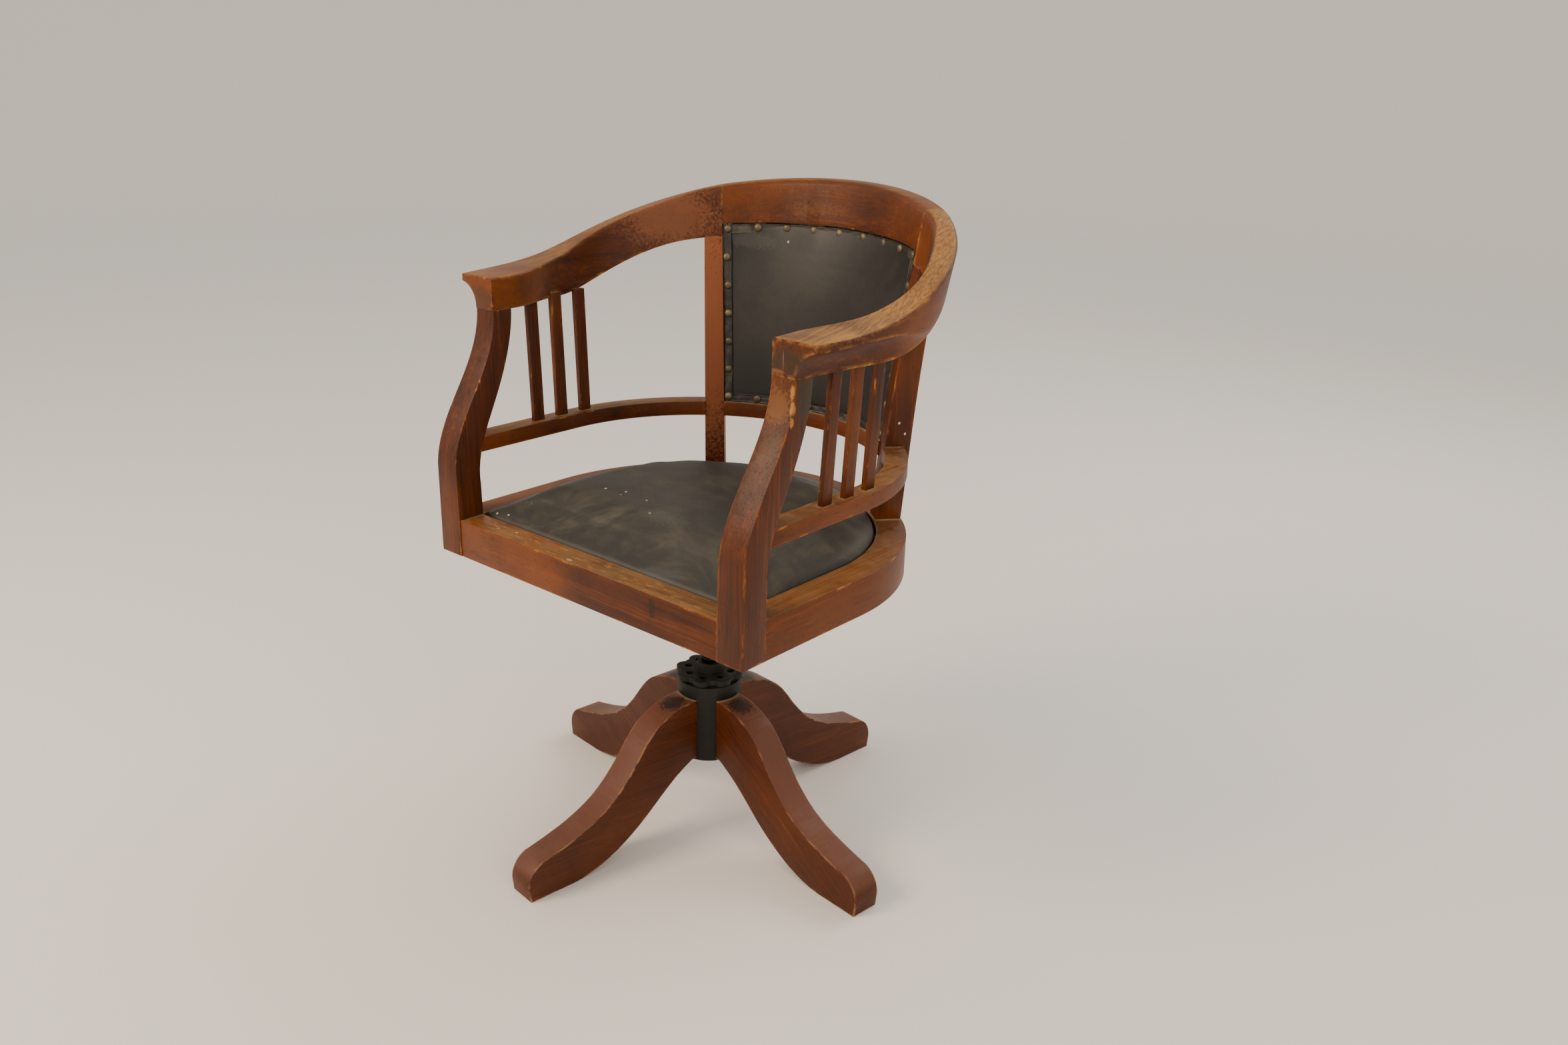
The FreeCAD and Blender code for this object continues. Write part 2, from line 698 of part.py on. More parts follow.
# Seat iron: a cast boss with four ribbed arms that reach the bearers
def iron_limb(bottom, top):
    def at(x, z):
        return vec(x, -iron_arm_width / 2, z)
    reach = iron_arm_reach
    under = top - iron_plate_thickness
    web = blend(under, bottom, 0.62)
    web_end = iron_boss_radius * 0.8
    edges = [line(at(0, top), at(reach, top))]
    edges.append(line(at(reach, top), at(reach, under)))
    edges.append(line(at(reach, under), at(reach * 0.66, under)))
    edges.append(arc(at(reach * 0.66, under), at(reach * 0.36, blend(under, bottom, 0.22)), at(web_end, web)))
    edges.append(line(at(web_end, web), at(0, web)))
    edges.append(line(at(0, web), at(0, top)))
    limb = prism(edges, vec(0, iron_arm_width, 0))
    return limb.fuse(cylinder(iron_pad_radius, under, top, reach, 0))


def iron_screw(x, under):
    tip = seat_rail_bottom + iron_screw_length - iron_plate_thickness
    shank = cylinder(iron_screw_radius, under, tip, x, 0)
    head = Part.makeCone(iron_screw_radius * 2, iron_screw_radius * 1.3, iron_screw_radius,
                         vec(x, 0, under), vec(0, 0, -1))
    return shank.fuse(head)


def seat_iron():
    top = seat_rail_bottom
    bottom = spindle_collar_top + side_clearance
    under = top - iron_plate_thickness
    limb = iron_limb(bottom, top)
    screws = []
    for x in (iron_arm_reach * 0.74, iron_arm_reach):
        limb = limb.cut(cylinder(iron_screw_radius + iron_screw_room, under - 1, top + 1, x, 0))
        screws.append(iron_screw(x, under))
    angles = [45 + 90 * quarter for quarter in range(4)]
    boss = Part.makeCone(iron_boss_radius, iron_boss_radius + iron_boss_flare, top - bottom,
                         vec(0, 0, bottom))
    iron = boss.multiFuse([turned(limb, angle) for angle in angles])
    iron = iron.cut(cylinder(journal_radius + running_clearance, bottom - 1, top + 1))
    parts["seat_iron"] = middle_solid(iron.removeSplitter())
    group = Part.makeCompound([turned(screw, angle) for angle in angles for screw in screws])
    parts["seat_iron_screws"] = group
    for name in ("seat_bearer_left", "seat_bearer_right"):
        parts[name] = middle_solid(parts[name].cut(group))


# Lifting spindle: keyed below, a thrust collar and a plain journal above
def spindle():
    collar_top = spindle_collar_top
    journal_top = seat_rail_bottom + cap_nut_height + 2.0
    body = cylinder(spindle_radius, spindle_bottom, spindle_collar)
    body = body.fuse(cylinder(spindle_collar_radius, spindle_collar, collar_top))
    body = body.fuse(cylinder(journal_radius, collar_top, journal_top))
    slot = Part.makeBox(keyway_width, 2 * keyway_depth, spindle_collar - spindle_bottom - 20,
                        vec(-keyway_width / 2, spindle_radius - keyway_depth, spindle_bottom - 10))
    body = body.cut(slot)
    parts["spindle"] = middle_solid(body.removeSplitter())
    nut_bottom = seat_rail_bottom + side_clearance
    nut = cylinder(cap_nut_radius, nut_bottom, nut_bottom + cap_nut_height)
    nut = nut.cut(cylinder(journal_radius, nut_bottom - 1, nut_bottom + cap_nut_height + 1))
    parts["swivel_retaining_ring"] = middle_solid(nut)


def handwheel():
    top = wheel_bottom + wheel_thickness
    lobes = []
    holes = []
    rim = wheel_radius - wheel_lobe_radius
    disc = cylinder(rim + wheel_lobe_radius * 0.45, wheel_bottom, top)
    for index in range(wheel_lobes):
        turn = math.radians(wheel_turn + 360.0 / wheel_lobes * index)
        x, y = math.cos(turn), math.sin(turn)
        lobes.append(cylinder(wheel_lobe_radius, wheel_bottom, top, rim * x, rim * y))
        holes.append(cylinder(wheel_hole_radius, wheel_bottom - 1, top + 1,
                              wheel_hole_circle * x, wheel_hole_circle * y))
    boss_bottom = washer_top + side_clearance
    boss = Part.makeCone(wheel_boss_radius, wheel_boss_radius - 3, wheel_boss_height, vec(0, 0, boss_bottom))
    wheel = disc.multiFuse(lobes + [boss]).removeSplitter()
    wheel = wheel.cut(Part.makeCompound(holes))
    wheel = wheel.cut(cylinder(spindle_radius + running_clearance, boss_bottom - 1, top + wheel_boss_height))
    parts["handwheel"] = middle_solid(wheel)


# Leg: a sawn plank with a rounded toe, an arched underside and a square end for the socket
def leg_profile():
    def at(r, z):
        return vec(r, -leg_width / 2, z)
    tip = leg_reach
    heel = leg_reach - leg_foot_length
    shoulder = flange_bottom
    rise = shoulder - toe_height
    span = tip - socket_radius
    inner = socket_tube_radius + leg_fit
    start = at(inner, shoulder)
    brow = at(socket_radius + 2, shoulder)
    slope_points = [brow,
                    at(socket_radius + 0.13 * span, shoulder - 0.04 * rise),
                    at(socket_radius + 0.24 * span, shoulder - 0.145 * rise),
                    at(socket_radius + 0.37 * span, shoulder - 0.425 * rise),
                    at(socket_radius + 0.54 * span, shoulder - 0.74 * rise),
                    at(socket_radius + 0.74 * span, shoulder - 0.91 * rise),
                    at(tip - 22, toe_height)]
    toe_top = slope_points[-1]
    toe_low = at(tip, 16)
    sole_front = at(tip - 2, 0)
    sole_back = at(heel, 0)
    arch_end = at(socket_radius + 3, socket_bottom)
    arch = [sole_back,
            at(heel - 0.20 * span, 0.11 * socket_bottom),
            at(heel - 0.42 * span, 0.42 * socket_bottom),
            at(heel - 0.58 * span, 0.74 * socket_bottom),
            arch_end]
    edges = [line(start, brow), curve(slope_points)]
    edges.append(arc(toe_top, at(tip - 4, toe_height - 16), toe_low))
    edges.append(line(toe_low, sole_front))
    edges.append(line(sole_front, sole_back))
    edges.append(curve(arch))
    edges.append(line(arch_end, at(inner, socket_bottom)))
    edges.append(line(at(inner, socket_bottom), start))
    return edges


def base():
    plank = prism(leg_profile(), vec(0, leg_width, 0))
    bolt_low = tie_plate_bottom - nut_height - 2.0
    bolt = cylinder(bolt_radius, bolt_low, flange_top - 0.5, bolt_circle, 0)
    head = Part.makeCone(bolt_radius, bolt_head_radius, bolt_head_radius - bolt_radius,
                         vec(bolt_circle, 0, flange_top - 0.5 - bolt_head_radius + bolt_radius))
    bolt = bolt.fuse(head)
    clearance_hole = cylinder(bolt_radius + bolt_clearance, bolt_low - 5, flange_top + 5, bolt_circle, 0)
    sink_depth = bolt_head_radius + bolt_clearance + 0.2 - bolt_radius
    countersink = Part.makeCone(bolt_radius, bolt_radius + sink_depth, sink_depth,
                                vec(bolt_circle, 0, flange_top - sink_depth))
    plank = plank.cut(clearance_hole)
    corners = []
    for index in range(6):
        turn = math.radians(60 * index)
        radius = nut_width / math.sqrt(3)
        corners.append(vec(bolt_circle + radius * math.cos(turn), radius * math.sin(turn),
                           tie_plate_bottom - nut_height))
    nut = prism(loop(corners), vec(0, 0, nut_height))
    nut = nut.cut(cylinder(bolt_radius, bolt_low - 5, flange_top, bolt_circle, 0))

    bore_radius = spindle_radius + bush_wall
    socket = cylinder(socket_radius, socket_bottom, flange_top)
    pockets = []
    bolts = []
    nuts = []
    holes = []
    for quarter in range(4):
        angle = leg_angle + 90 * quarter
        parts["leg_%d" % (quarter + 1)] = turned(plank, angle)
        pocket = Part.makeBox(socket_radius * 2, leg_width + 2 * leg_fit, flange_bottom - socket_bottom + 10,
                              vec(socket_tube_radius * 0.9, -leg_width / 2 - leg_fit, socket_bottom - 10))
        pockets.append(turned(pocket, angle))
        bolts.append(turned(bolt, angle))
        nuts.append(turned(nut, angle))
        holes.append(turned(clearance_hole, angle))
        holes.append(turned(countersink, angle))
    tube = cylinder(socket_tube_radius, socket_bottom, flange_top)
    socket = socket.cut(Part.makeCompound(pockets)).fuse(tube)
    socket = socket.cut(cylinder(bore_radius, socket_bottom - 1, flange_top + 1))
    socket = socket.cut(Part.makeCompound(holes))
    parts["base_socket"] = middle_solid(socket.removeSplitter())
    plate = cylinder(socket_radius - 3, tie_plate_bottom, socket_bottom)
    plate = plate.cut(cylinder(spindle_radius + 2, tie_plate_bottom - 1, socket_bottom + 1))
    plate = plate.cut(Part.makeCompound(holes))
    parts["tie_plate"] = middle_solid(plate)
    parts["leg_bolts"] = Part.makeCompound(bolts)
    parts["leg_nuts"] = Part.makeCompound(nuts)

    bush = cylinder(bore_radius, socket_bottom, flange_top)
    bush = bush.cut(cylinder(spindle_radius + running_clearance, socket_bottom - 1, flange_top + 1))
    key = Part.makeBox(keyway_width - 2 * side_clearance, keyway_depth + 2, flange_top - socket_bottom,
                       vec(-keyway_width / 2 + side_clearance,
                           spindle_radius - keyway_depth + side_clearance, socket_bottom))
    parts["guide_bush"] = middle_solid(bush.fuse(key).removeSplitter())
    washer = cylinder(washer_radius, flange_top, washer_top)
    washer = washer.cut(cylinder(spindle_radius + 1.0, flange_top - 1, washer_top + 1))
    parts["thrust_washer"] = middle_solid(washer)


chair_frame()
seat()
seat_iron()
spindle()
handwheel()
base()

os.makedirs("parts", exist_ok=True)
for name, shape in parts.items():
    shape.exportStep("parts/%s.step" % name)
    print(name, len(shape.Solids), round(shape.Volume / 1000), shape.isValid())
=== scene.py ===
import json
import math
import random
from functools import partial

import bmesh
import bpy
import numpy as np
from mathutils import Matrix, Vector
from mathutils.bvhtree import BVHTree

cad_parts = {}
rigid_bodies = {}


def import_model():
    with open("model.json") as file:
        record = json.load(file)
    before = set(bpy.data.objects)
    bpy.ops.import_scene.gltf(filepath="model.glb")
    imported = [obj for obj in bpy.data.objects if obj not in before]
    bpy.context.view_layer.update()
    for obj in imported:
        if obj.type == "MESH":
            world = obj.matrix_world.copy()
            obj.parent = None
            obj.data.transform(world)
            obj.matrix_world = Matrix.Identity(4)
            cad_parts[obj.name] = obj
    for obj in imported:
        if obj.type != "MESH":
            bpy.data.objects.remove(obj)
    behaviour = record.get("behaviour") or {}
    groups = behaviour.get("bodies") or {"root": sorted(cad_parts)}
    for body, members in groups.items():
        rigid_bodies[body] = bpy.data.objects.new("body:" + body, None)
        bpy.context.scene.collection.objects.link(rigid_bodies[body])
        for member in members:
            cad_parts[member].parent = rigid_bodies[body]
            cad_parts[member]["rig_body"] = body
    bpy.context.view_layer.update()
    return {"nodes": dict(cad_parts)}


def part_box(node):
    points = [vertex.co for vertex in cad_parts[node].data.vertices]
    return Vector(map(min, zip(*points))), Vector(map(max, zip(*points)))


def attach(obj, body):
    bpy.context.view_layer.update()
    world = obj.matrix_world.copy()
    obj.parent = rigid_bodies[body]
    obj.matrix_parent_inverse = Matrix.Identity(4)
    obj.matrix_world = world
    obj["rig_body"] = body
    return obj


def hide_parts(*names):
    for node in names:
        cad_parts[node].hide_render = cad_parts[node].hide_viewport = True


# A bankers swivel chair: worn stained oak, black leathercloth, blackened cast iron.
# Metres throughout. +Z is up and the sitter faces -Y.

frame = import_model()
nodes = frame["nodes"]
mm = 0.001
ringCentre = Vector((0, -0.020, 0))  # the seat ring, crest and back all turn round this line
print("frame loaded:", len(nodes), "nodes")


# ways that a node is set, for addNode
times = {"operation": "MULTIPLY"}
plus = {"operation": "ADD"}
minus = {"operation": "SUBTRACT"}
plusTimes = {"operation": "MULTIPLY_ADD"}
dot = {"operation": "DOT_PRODUCT"}
colours = {"data_type": "RGBA"}
eased = {"interpolation_type": "SMOOTHSTEP"}  # 0 up to the first number, 1 from the second, soft between


def linear(hexColour):
    channels = [int(hexColour[i:i + 2], 16) / 255 for i in (1, 3, 5)]
    return tuple(c / 12.92 if c <= 0.04045 else ((c + 0.055) / 1.055) ** 2.4 for c in channels) + (1.0,)


def addNode(tree, kind, settings=None, *values, **named):
    # one node, its settings and its inputs in order or by name; a node given as an input is linked
    node = tree.nodes.new(kind)
    for name, value in (settings or {}).items():
        setattr(node, name, value)
    sockets = [s for s in node.inputs if s.enabled]
    pairs = list(zip(sockets, values))
    pairs += [(next(s for s in sockets if s.name == name), value) for name, value in named.items()]
    for socket, value in pairs:
        if isinstance(value, bpy.types.Node):
            value = next(s for s in value.outputs if s.enabled)
        if isinstance(value, bpy.types.NodeSocket):
            tree.links.new(value, socket)
        else:
            socket.default_value = value
    return node


def coat(name, paint):
    # a material whose paint(add) gives the shader's inputs
    material = bpy.data.materials.new(name)
    material.use_nodes = True
    material.node_tree.nodes.clear()
    add = partial(addNode, material.node_tree)
    add("ShaderNodeOutputMaterial", None, add("ShaderNodeBsdfPrincipled", None, **paint(add)))
    return material


raggedEdge = {"scale": 240.0, "share": 1.8, "outside": 1.9, "inside": 1.4}  # notches about 4 mm apart


def spots(add, here, marks):
    # stains, chips and specks where the real piece has them, and a few painted highlights and painted shade:
    # ragged ovals round a point, each given as its centre and reach in millimetres, its colour and its
    # strength
    ragged = add("ShaderNodeTexNoise", None, here, raggedEdge["scale"], 5.0, 0.7)
    layers = []
    for centre, reach, tint, strength in marks:
        near = add("ShaderNodeMapping", {"vector_type": "TEXTURE"}, here,
                   Vector(centre) * mm, (0, 0, 0), Vector(reach) * mm)
        away = add("ShaderNodeVectorMath", {"operation": "LENGTH"}, near)
        far = add("ShaderNodeMath", plusTimes, ragged, raggedEdge["share"], away)
        share = add("ShaderNodeMapRange", eased, far, raggedEdge["outside"], raggedEdge["inside"],
                    0.0, strength)
        layers.append((share, tint))
    return layers


def placed(name, mesh):
    piece = bpy.data.objects.new(name, mesh)
    bpy.context.scene.collection.objects.link(piece)
    return piece


def settled(piece):
    # modifiers made into plain mesh, smooth apart from true corners
    mesh = bpy.data.meshes.new_from_object(piece.evaluated_get(bpy.context.evaluated_depsgraph_get()))
    piece.modifiers.clear()
    piece.data = mesh
    mesh.shade_smooth()
    mesh.set_sharp_from_angle(angle=math.radians(34))
    return piece


def fitted(piece, material, body, slot, *replaced):
    # its finish, the body that it moves with, slot (not used), the solids it stands for
    piece.data.materials.clear()
    piece.data.materials.append(material)
    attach(piece, body)
    for name in replaced:
        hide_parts(name)


# camera, light and floor

camera = {
    "place": (1.2226, -1.3071, 1.1299),
    "turn": 39.71,   # degrees round the chair from straight in front
    "drop": 19.90,   # degrees that it looks down
    "roll": 1.72,
    "lens": 30.25,   # on a sensor 36 mm wide
}
studio = {
    "paint": "#f3f0ec",
    "air": "#f5eee4", "airStrength": 0.85,
    "floorReach": 7.0, "coveRadius": 1.8, "wallTop": 2.0,
    "lamps": {  # place, size in metres, watts, tint; each is aimed at the seat
        "key": ((-1.35, -2.75, 2.45), 1.6, 92, "#ffe4c6"),
        "fill": ((2.9, -1.2, 1.9), 2.2, 26, "#ffecd8"),
        "rear": ((0.6, 2.6, 2.6), 2.0, 32, "#fff2e4"),
    },
}


def makeCamera():
    turn, drop, roll = (math.radians(camera[k]) for k in ("turn", "drop", "roll"))
    back = Vector((math.sin(turn) * math.cos(drop), -math.cos(turn) * math.cos(drop), math.sin(drop)))
    right = Vector((math.cos(turn), math.sin(turn), 0))
    up = back.cross(right)
    tiltedRight = right * math.cos(roll) + up * math.sin(roll)
    tiltedUp = up * math.cos(roll) - right * math.sin(roll)
    lens = bpy.data.cameras.new("camera")
    lens.lens = camera["lens"]
    lens.sensor_width = 36.0
    eye = placed("camera", lens)
    turned = Matrix((tiltedRight, tiltedUp, back)).transposed()
    eye.matrix_world = Matrix.Translation(camera["place"]) @ turned.to_4x4()
    bpy.context.scene.camera = eye


def makeStudio():
    for name, (place, size, power, tint) in studio["lamps"].items():
        lamp = bpy.data.lights.new(name, "AREA")
        lamp.shape = "DISK"
        lamp.size = size
        lamp.energy = power
        lamp.color = linear(tint)[:3]
        away = Vector(place) - Vector((0, 0, 0.5))
        placed(name, lamp).matrix_world = (Matrix.Translation(place)
                                           @ away.to_track_quat("Z", "Y").to_matrix().to_4x4())
    world = bpy.data.worlds.new("air")
    bpy.context.scene.world = world
    world.use_nodes = True
    sky = world.node_tree.nodes["Background"]
    sky.inputs["Color"].default_value = linear(studio["air"])
    sky.inputs["Strength"].default_value = studio["airStrength"]

    # the floor runs into a round cove, so no line shows behind the chair
    reach, cove = studio["floorReach"], studio["coveRadius"]
    profile = [(reach * share, 0) for share in (0.1, 0.4, 0.7, 1.0)]
    profile += [(reach + cove * math.sin(a), cove * (1 - math.cos(a)))
                for a in np.linspace(0.1, math.pi / 2, 12)]
    profile.append((reach + cove, studio["wallTop"]))
    around, verts = 72, [(0, 0, 0)]
    for radius, height in profile:
        verts += [(radius * math.cos(math.tau * i / around), radius * math.sin(math.tau * i / around), height)
                  for i in range(around)]
    faces = [(0, 1 + i, 1 + (i + 1) % around) for i in range(around)]
    for ring in range(len(profile) - 1):
        low = 1 + ring * around
        faces += [(low + i, low + around + i, low + around + (i + 1) % around, low + (i + 1) % around)
                  for i in range(around)]
    sheet = bpy.data.meshes.new("floor")
    sheet.from_pydata(verts, [], faces)
    sheet.shade_smooth()
    # matt wall paint, rolled on: even, with nothing to catch the eye
    painted = {"Base Color": linear(studio["paint"]), "Roughness": 0.9}
    sheet.materials.append(coat("mattWallPaint", lambda add: painted))
    placed("floor", sheet)


makeCamera()
makeStudio()
print("camera, light and floor made")


# stained oak

oak = {
    "dark": "#260e02", "mid": "#481e03", "light": "#6e3406", "rubbed": "#8f4a09", "bare": "#cc8a34",
    # of these, the pale brown mixed onto the legs' upward faces is painted light on their tops
    "dust": "#7c6646", "corner": "#aa9878", "grime": "#262012", "pore": "#140802", "bloomAndTopLight": "#6b4334",
    "top": ("#865a2a", "#ba8746"),   # where forearms have worn the stain off: hollow and crown of the grain
    "figure": (2.2, 60, 60),     # growth rings, about 17 mm apart
    "fibre": (7, 320, 320),      # fibres, about 3 mm from line to line
    "openPores": (80, 900, 900),  # real pores are 0.3 mm wide, drawn 1 mm wide to show
    "rays": (46, 160, 160),      # the flakes of quarter-sawn oak, about 22 by 6 mm
    "chip": (30, 90, 90),        # chips along an edge, about 33 by 11 mm
    "patch": 3.4, "cloud": 9.0, "soil": 14.0, "dustFall": 26.0,  # 300, 110, 70 and 40 mm across
    "sway": 12 * mm,             # how far the grain wanders
    "edgeReach": 5.0 * mm, "cornerReach": 9 * mm, "relief": 0.6 * mm,
    "sheen": 0.28,               # old wax gone thin shines less than fresh varnish
}
# how much of each a piece shows, from 0 to 1; shift moves it to another part of the plank
plainLook = {"wear": 0.5, "dusty": 0.25, "warm": 0.35, "topWear": 0.0, "shift": 0.0, "grime": 0.35,
             "rays": 0.0, "bloomAndTopLight": 0.0, "figure": 0.45, "edgeWidth": 1.0, "edge": oak["rubbed"], "marks": ()}


def stainedOak(name, grain, given):
    # Quarter-sawn oak, planed and sanded, then a dark red-brown stain and wax: long fibres with short open
    # pores, stain rubbed to orange and tan along the edges that hands and feet reach, dust where it lies flat
    look = {**plainLook, **given}

    def paint(add):
        here = add("ShaderNodeTexCoord").outputs["Object"]
        turned = add("ShaderNodeMapping", {"vector_type": "POINT"}, here, (look["shift"],) * 3,
                     [math.radians(a) for a in grain])
        sway = add("ShaderNodeTexNoise", None, turned, 7.0, 2.0).outputs["Color"]
        swayed = add("ShaderNodeVectorMath", plusTimes, sway, (oak["sway"],) * 3, turned)
        lines = {}
        for key, detail in (("figure", 3.0), ("fibre", 5.0), ("openPores", 2.0), ("rays", 2.0)):
            drawn = add("ShaderNodeVectorMath", times, swayed, oak[key])
            lines[key] = add("ShaderNodeTexNoise", None, drawn, 1.0, detail, 0.6)
        cloud = add("ShaderNodeTexNoise", None, here, oak["cloud"], 4.0, 0.55, 2.0, 0.3)
        patch = add("ShaderNodeTexNoise", None, turned, oak["patch"], 3.0)
        soil = add("ShaderNodeTexNoise", None, here, oak["soil"], 5.0, 0.65, 2.0, 0.8)
        fine = add("ShaderNodeTexNoise", None, here, oak["dustFall"], 5.0, 0.7)

        even = add("ShaderNodeMath", plusTimes, lines["fibre"], 0.45, (0.55 - look["figure"]) * 0.5)
        tone = add("ShaderNodeMath", plusTimes, lines["figure"], look["figure"], even)
        pores = add("ShaderNodeMapRange", eased, lines["openPores"], 0.60, 0.70, 0.0, 0.6)

        # the rounded normal leaves the true one only near an edge
        true = add("ShaderNodeNewGeometry").outputs["True Normal"]
        soft = add("ShaderNodeBevel", {"samples": 4}, oak["edgeReach"] * look["edgeWidth"])
        facing = add("ShaderNodeVectorMath", dot, soft, true)
        edge = add("ShaderNodeMapRange", eased, facing, 0.995, 0.86)
        along = add("ShaderNodeVectorMath", times, turned, oak["chip"])
        ragged = add("ShaderNodeTexNoise", None, along, 1.0, 5.0, 0.65)
        broken = add("ShaderNodeMath", plusTimes, cloud, 0.5, ragged)
        spared = 0.86 - 0.18 * look["wear"]
        rubbed = add("ShaderNodeMapRange", eased, broken, spared, spared + 0.16)
        worn = add("ShaderNodeMath", times, edge, rubbed)
        near = add("ShaderNodeMapRange", eased, facing, 0.97, 0.80)
        chips = add("ShaderNodeMath", times, near, add("ShaderNodeMapRange", eased, ragged, 0.60, 0.66))

        up = add("ShaderNodeSeparateXYZ", None, true).outputs["Z"]
        flat = add("ShaderNodeMapRange", eased, up, 0.72, 0.93)
        palmed = add("ShaderNodeMath", times, flat, add("ShaderNodeMapRange", eased, cloud, 0.25, 0.62))
        crown = add("ShaderNodeMix", colours, add("ShaderNodeMapRange", eased, lines["fibre"], 0.35, 0.65),
                    linear(oak["top"][0]), linear(oak["top"][1]))
        fallen = add("ShaderNodeMapRange", eased, fine, 0.35, 0.75, 0.0, look["dusty"])
        dusting = add("ShaderNodeMath", times, flat, fallen)
        shaded = add("ShaderNodeAmbientOcclusion", {"samples": 4}, (1, 1, 1, 1), oak["cornerReach"])
        hollow = shaded.outputs["AO"]
        corner = add("ShaderNodeMath", times, add("ShaderNodeMapRange", eased, hollow, 0.88, 0.55, 0.0, 0.9),
                     add("ShaderNodeMath", times, flat, add("ShaderNodeMapRange", eased, fine, 0.30, 0.5)))

        flakes = add("ShaderNodeMapRange", eased, lines["rays"], 0.56, 0.66, 0.0, look["rays"])
        layers = [
            (add("ShaderNodeMapRange", eased, tone, 0.34, 0.50), oak["mid"]),
            (add("ShaderNodeMapRange", eased, tone, 0.50, 0.70), oak["light"]),
            (add("ShaderNodeMapRange", eased, patch, 0.42, 0.66, 0.0, look["warm"]), oak["rubbed"]),
            (add("ShaderNodeMapRange", eased, cloud, 0.50, 0.75, 0.0, 0.25), oak["dark"]),
            (add("ShaderNodeMath", times, flat, flakes), oak["bare"]),
            (pores, oak["pore"]),
            (add("ShaderNodeMapRange", eased, soil, 0.55, 0.72, 0.0, look["grime"]), oak["grime"]),
            # painted light: upward faces of the legs mixed towards a paler brown, where light falls on their
            # tops
            (add("ShaderNodeMapRange", eased, up, 0.22, 0.60, 0.0, look["bloomAndTopLight"]), oak["bloomAndTopLight"]),
            (add("ShaderNodeMath", times, worn, 0.9), look["edge"]),
            (add("ShaderNodeMath", times, chips, min(1.0, 0.35 + look["wear"])), oak["bare"]),
            (add("ShaderNodeMath", times, palmed, look["topWear"]), crown),
            (add("ShaderNodeMath", times, pores, look["topWear"] * 0.6), oak["dark"]),
            (dusting, oak["dust"]),
            (corner, oak["corner"]),
        ] + spots(add, here, look["marks"])
        colour = linear(oak["dark"])
        for share, tint in layers:
            tint = linear(tint) if isinstance(tint, str) else tint
            colour = add("ShaderNodeMix", colours, share, colour, tint)

        rough = add("ShaderNodeMath", plusTimes, cloud, 0.22, 0.36)
        for share, more in ((worn, 0.16), (dusting, 0.5), (corner, 0.3)):
            rough = add("ShaderNodeMath", plusTimes, share, more, rough)
        height = add("ShaderNodeMath", times, lines["fibre"], 0.5)
        for share, deep in ((pores, -1.1), (chips, -0.9)):
            height = add("ShaderNodeMath", plusTimes, share, deep, height)
        bump = add("ShaderNodeBump", None, Strength=0.35, Distance=oak["relief"], Height=height)
        return {"Base Color": colour, "Roughness": rough, "IOR": 1.5, "Specular IOR Level": oak["sheen"],
                "Normal": bump}

    return coat(name, paint)


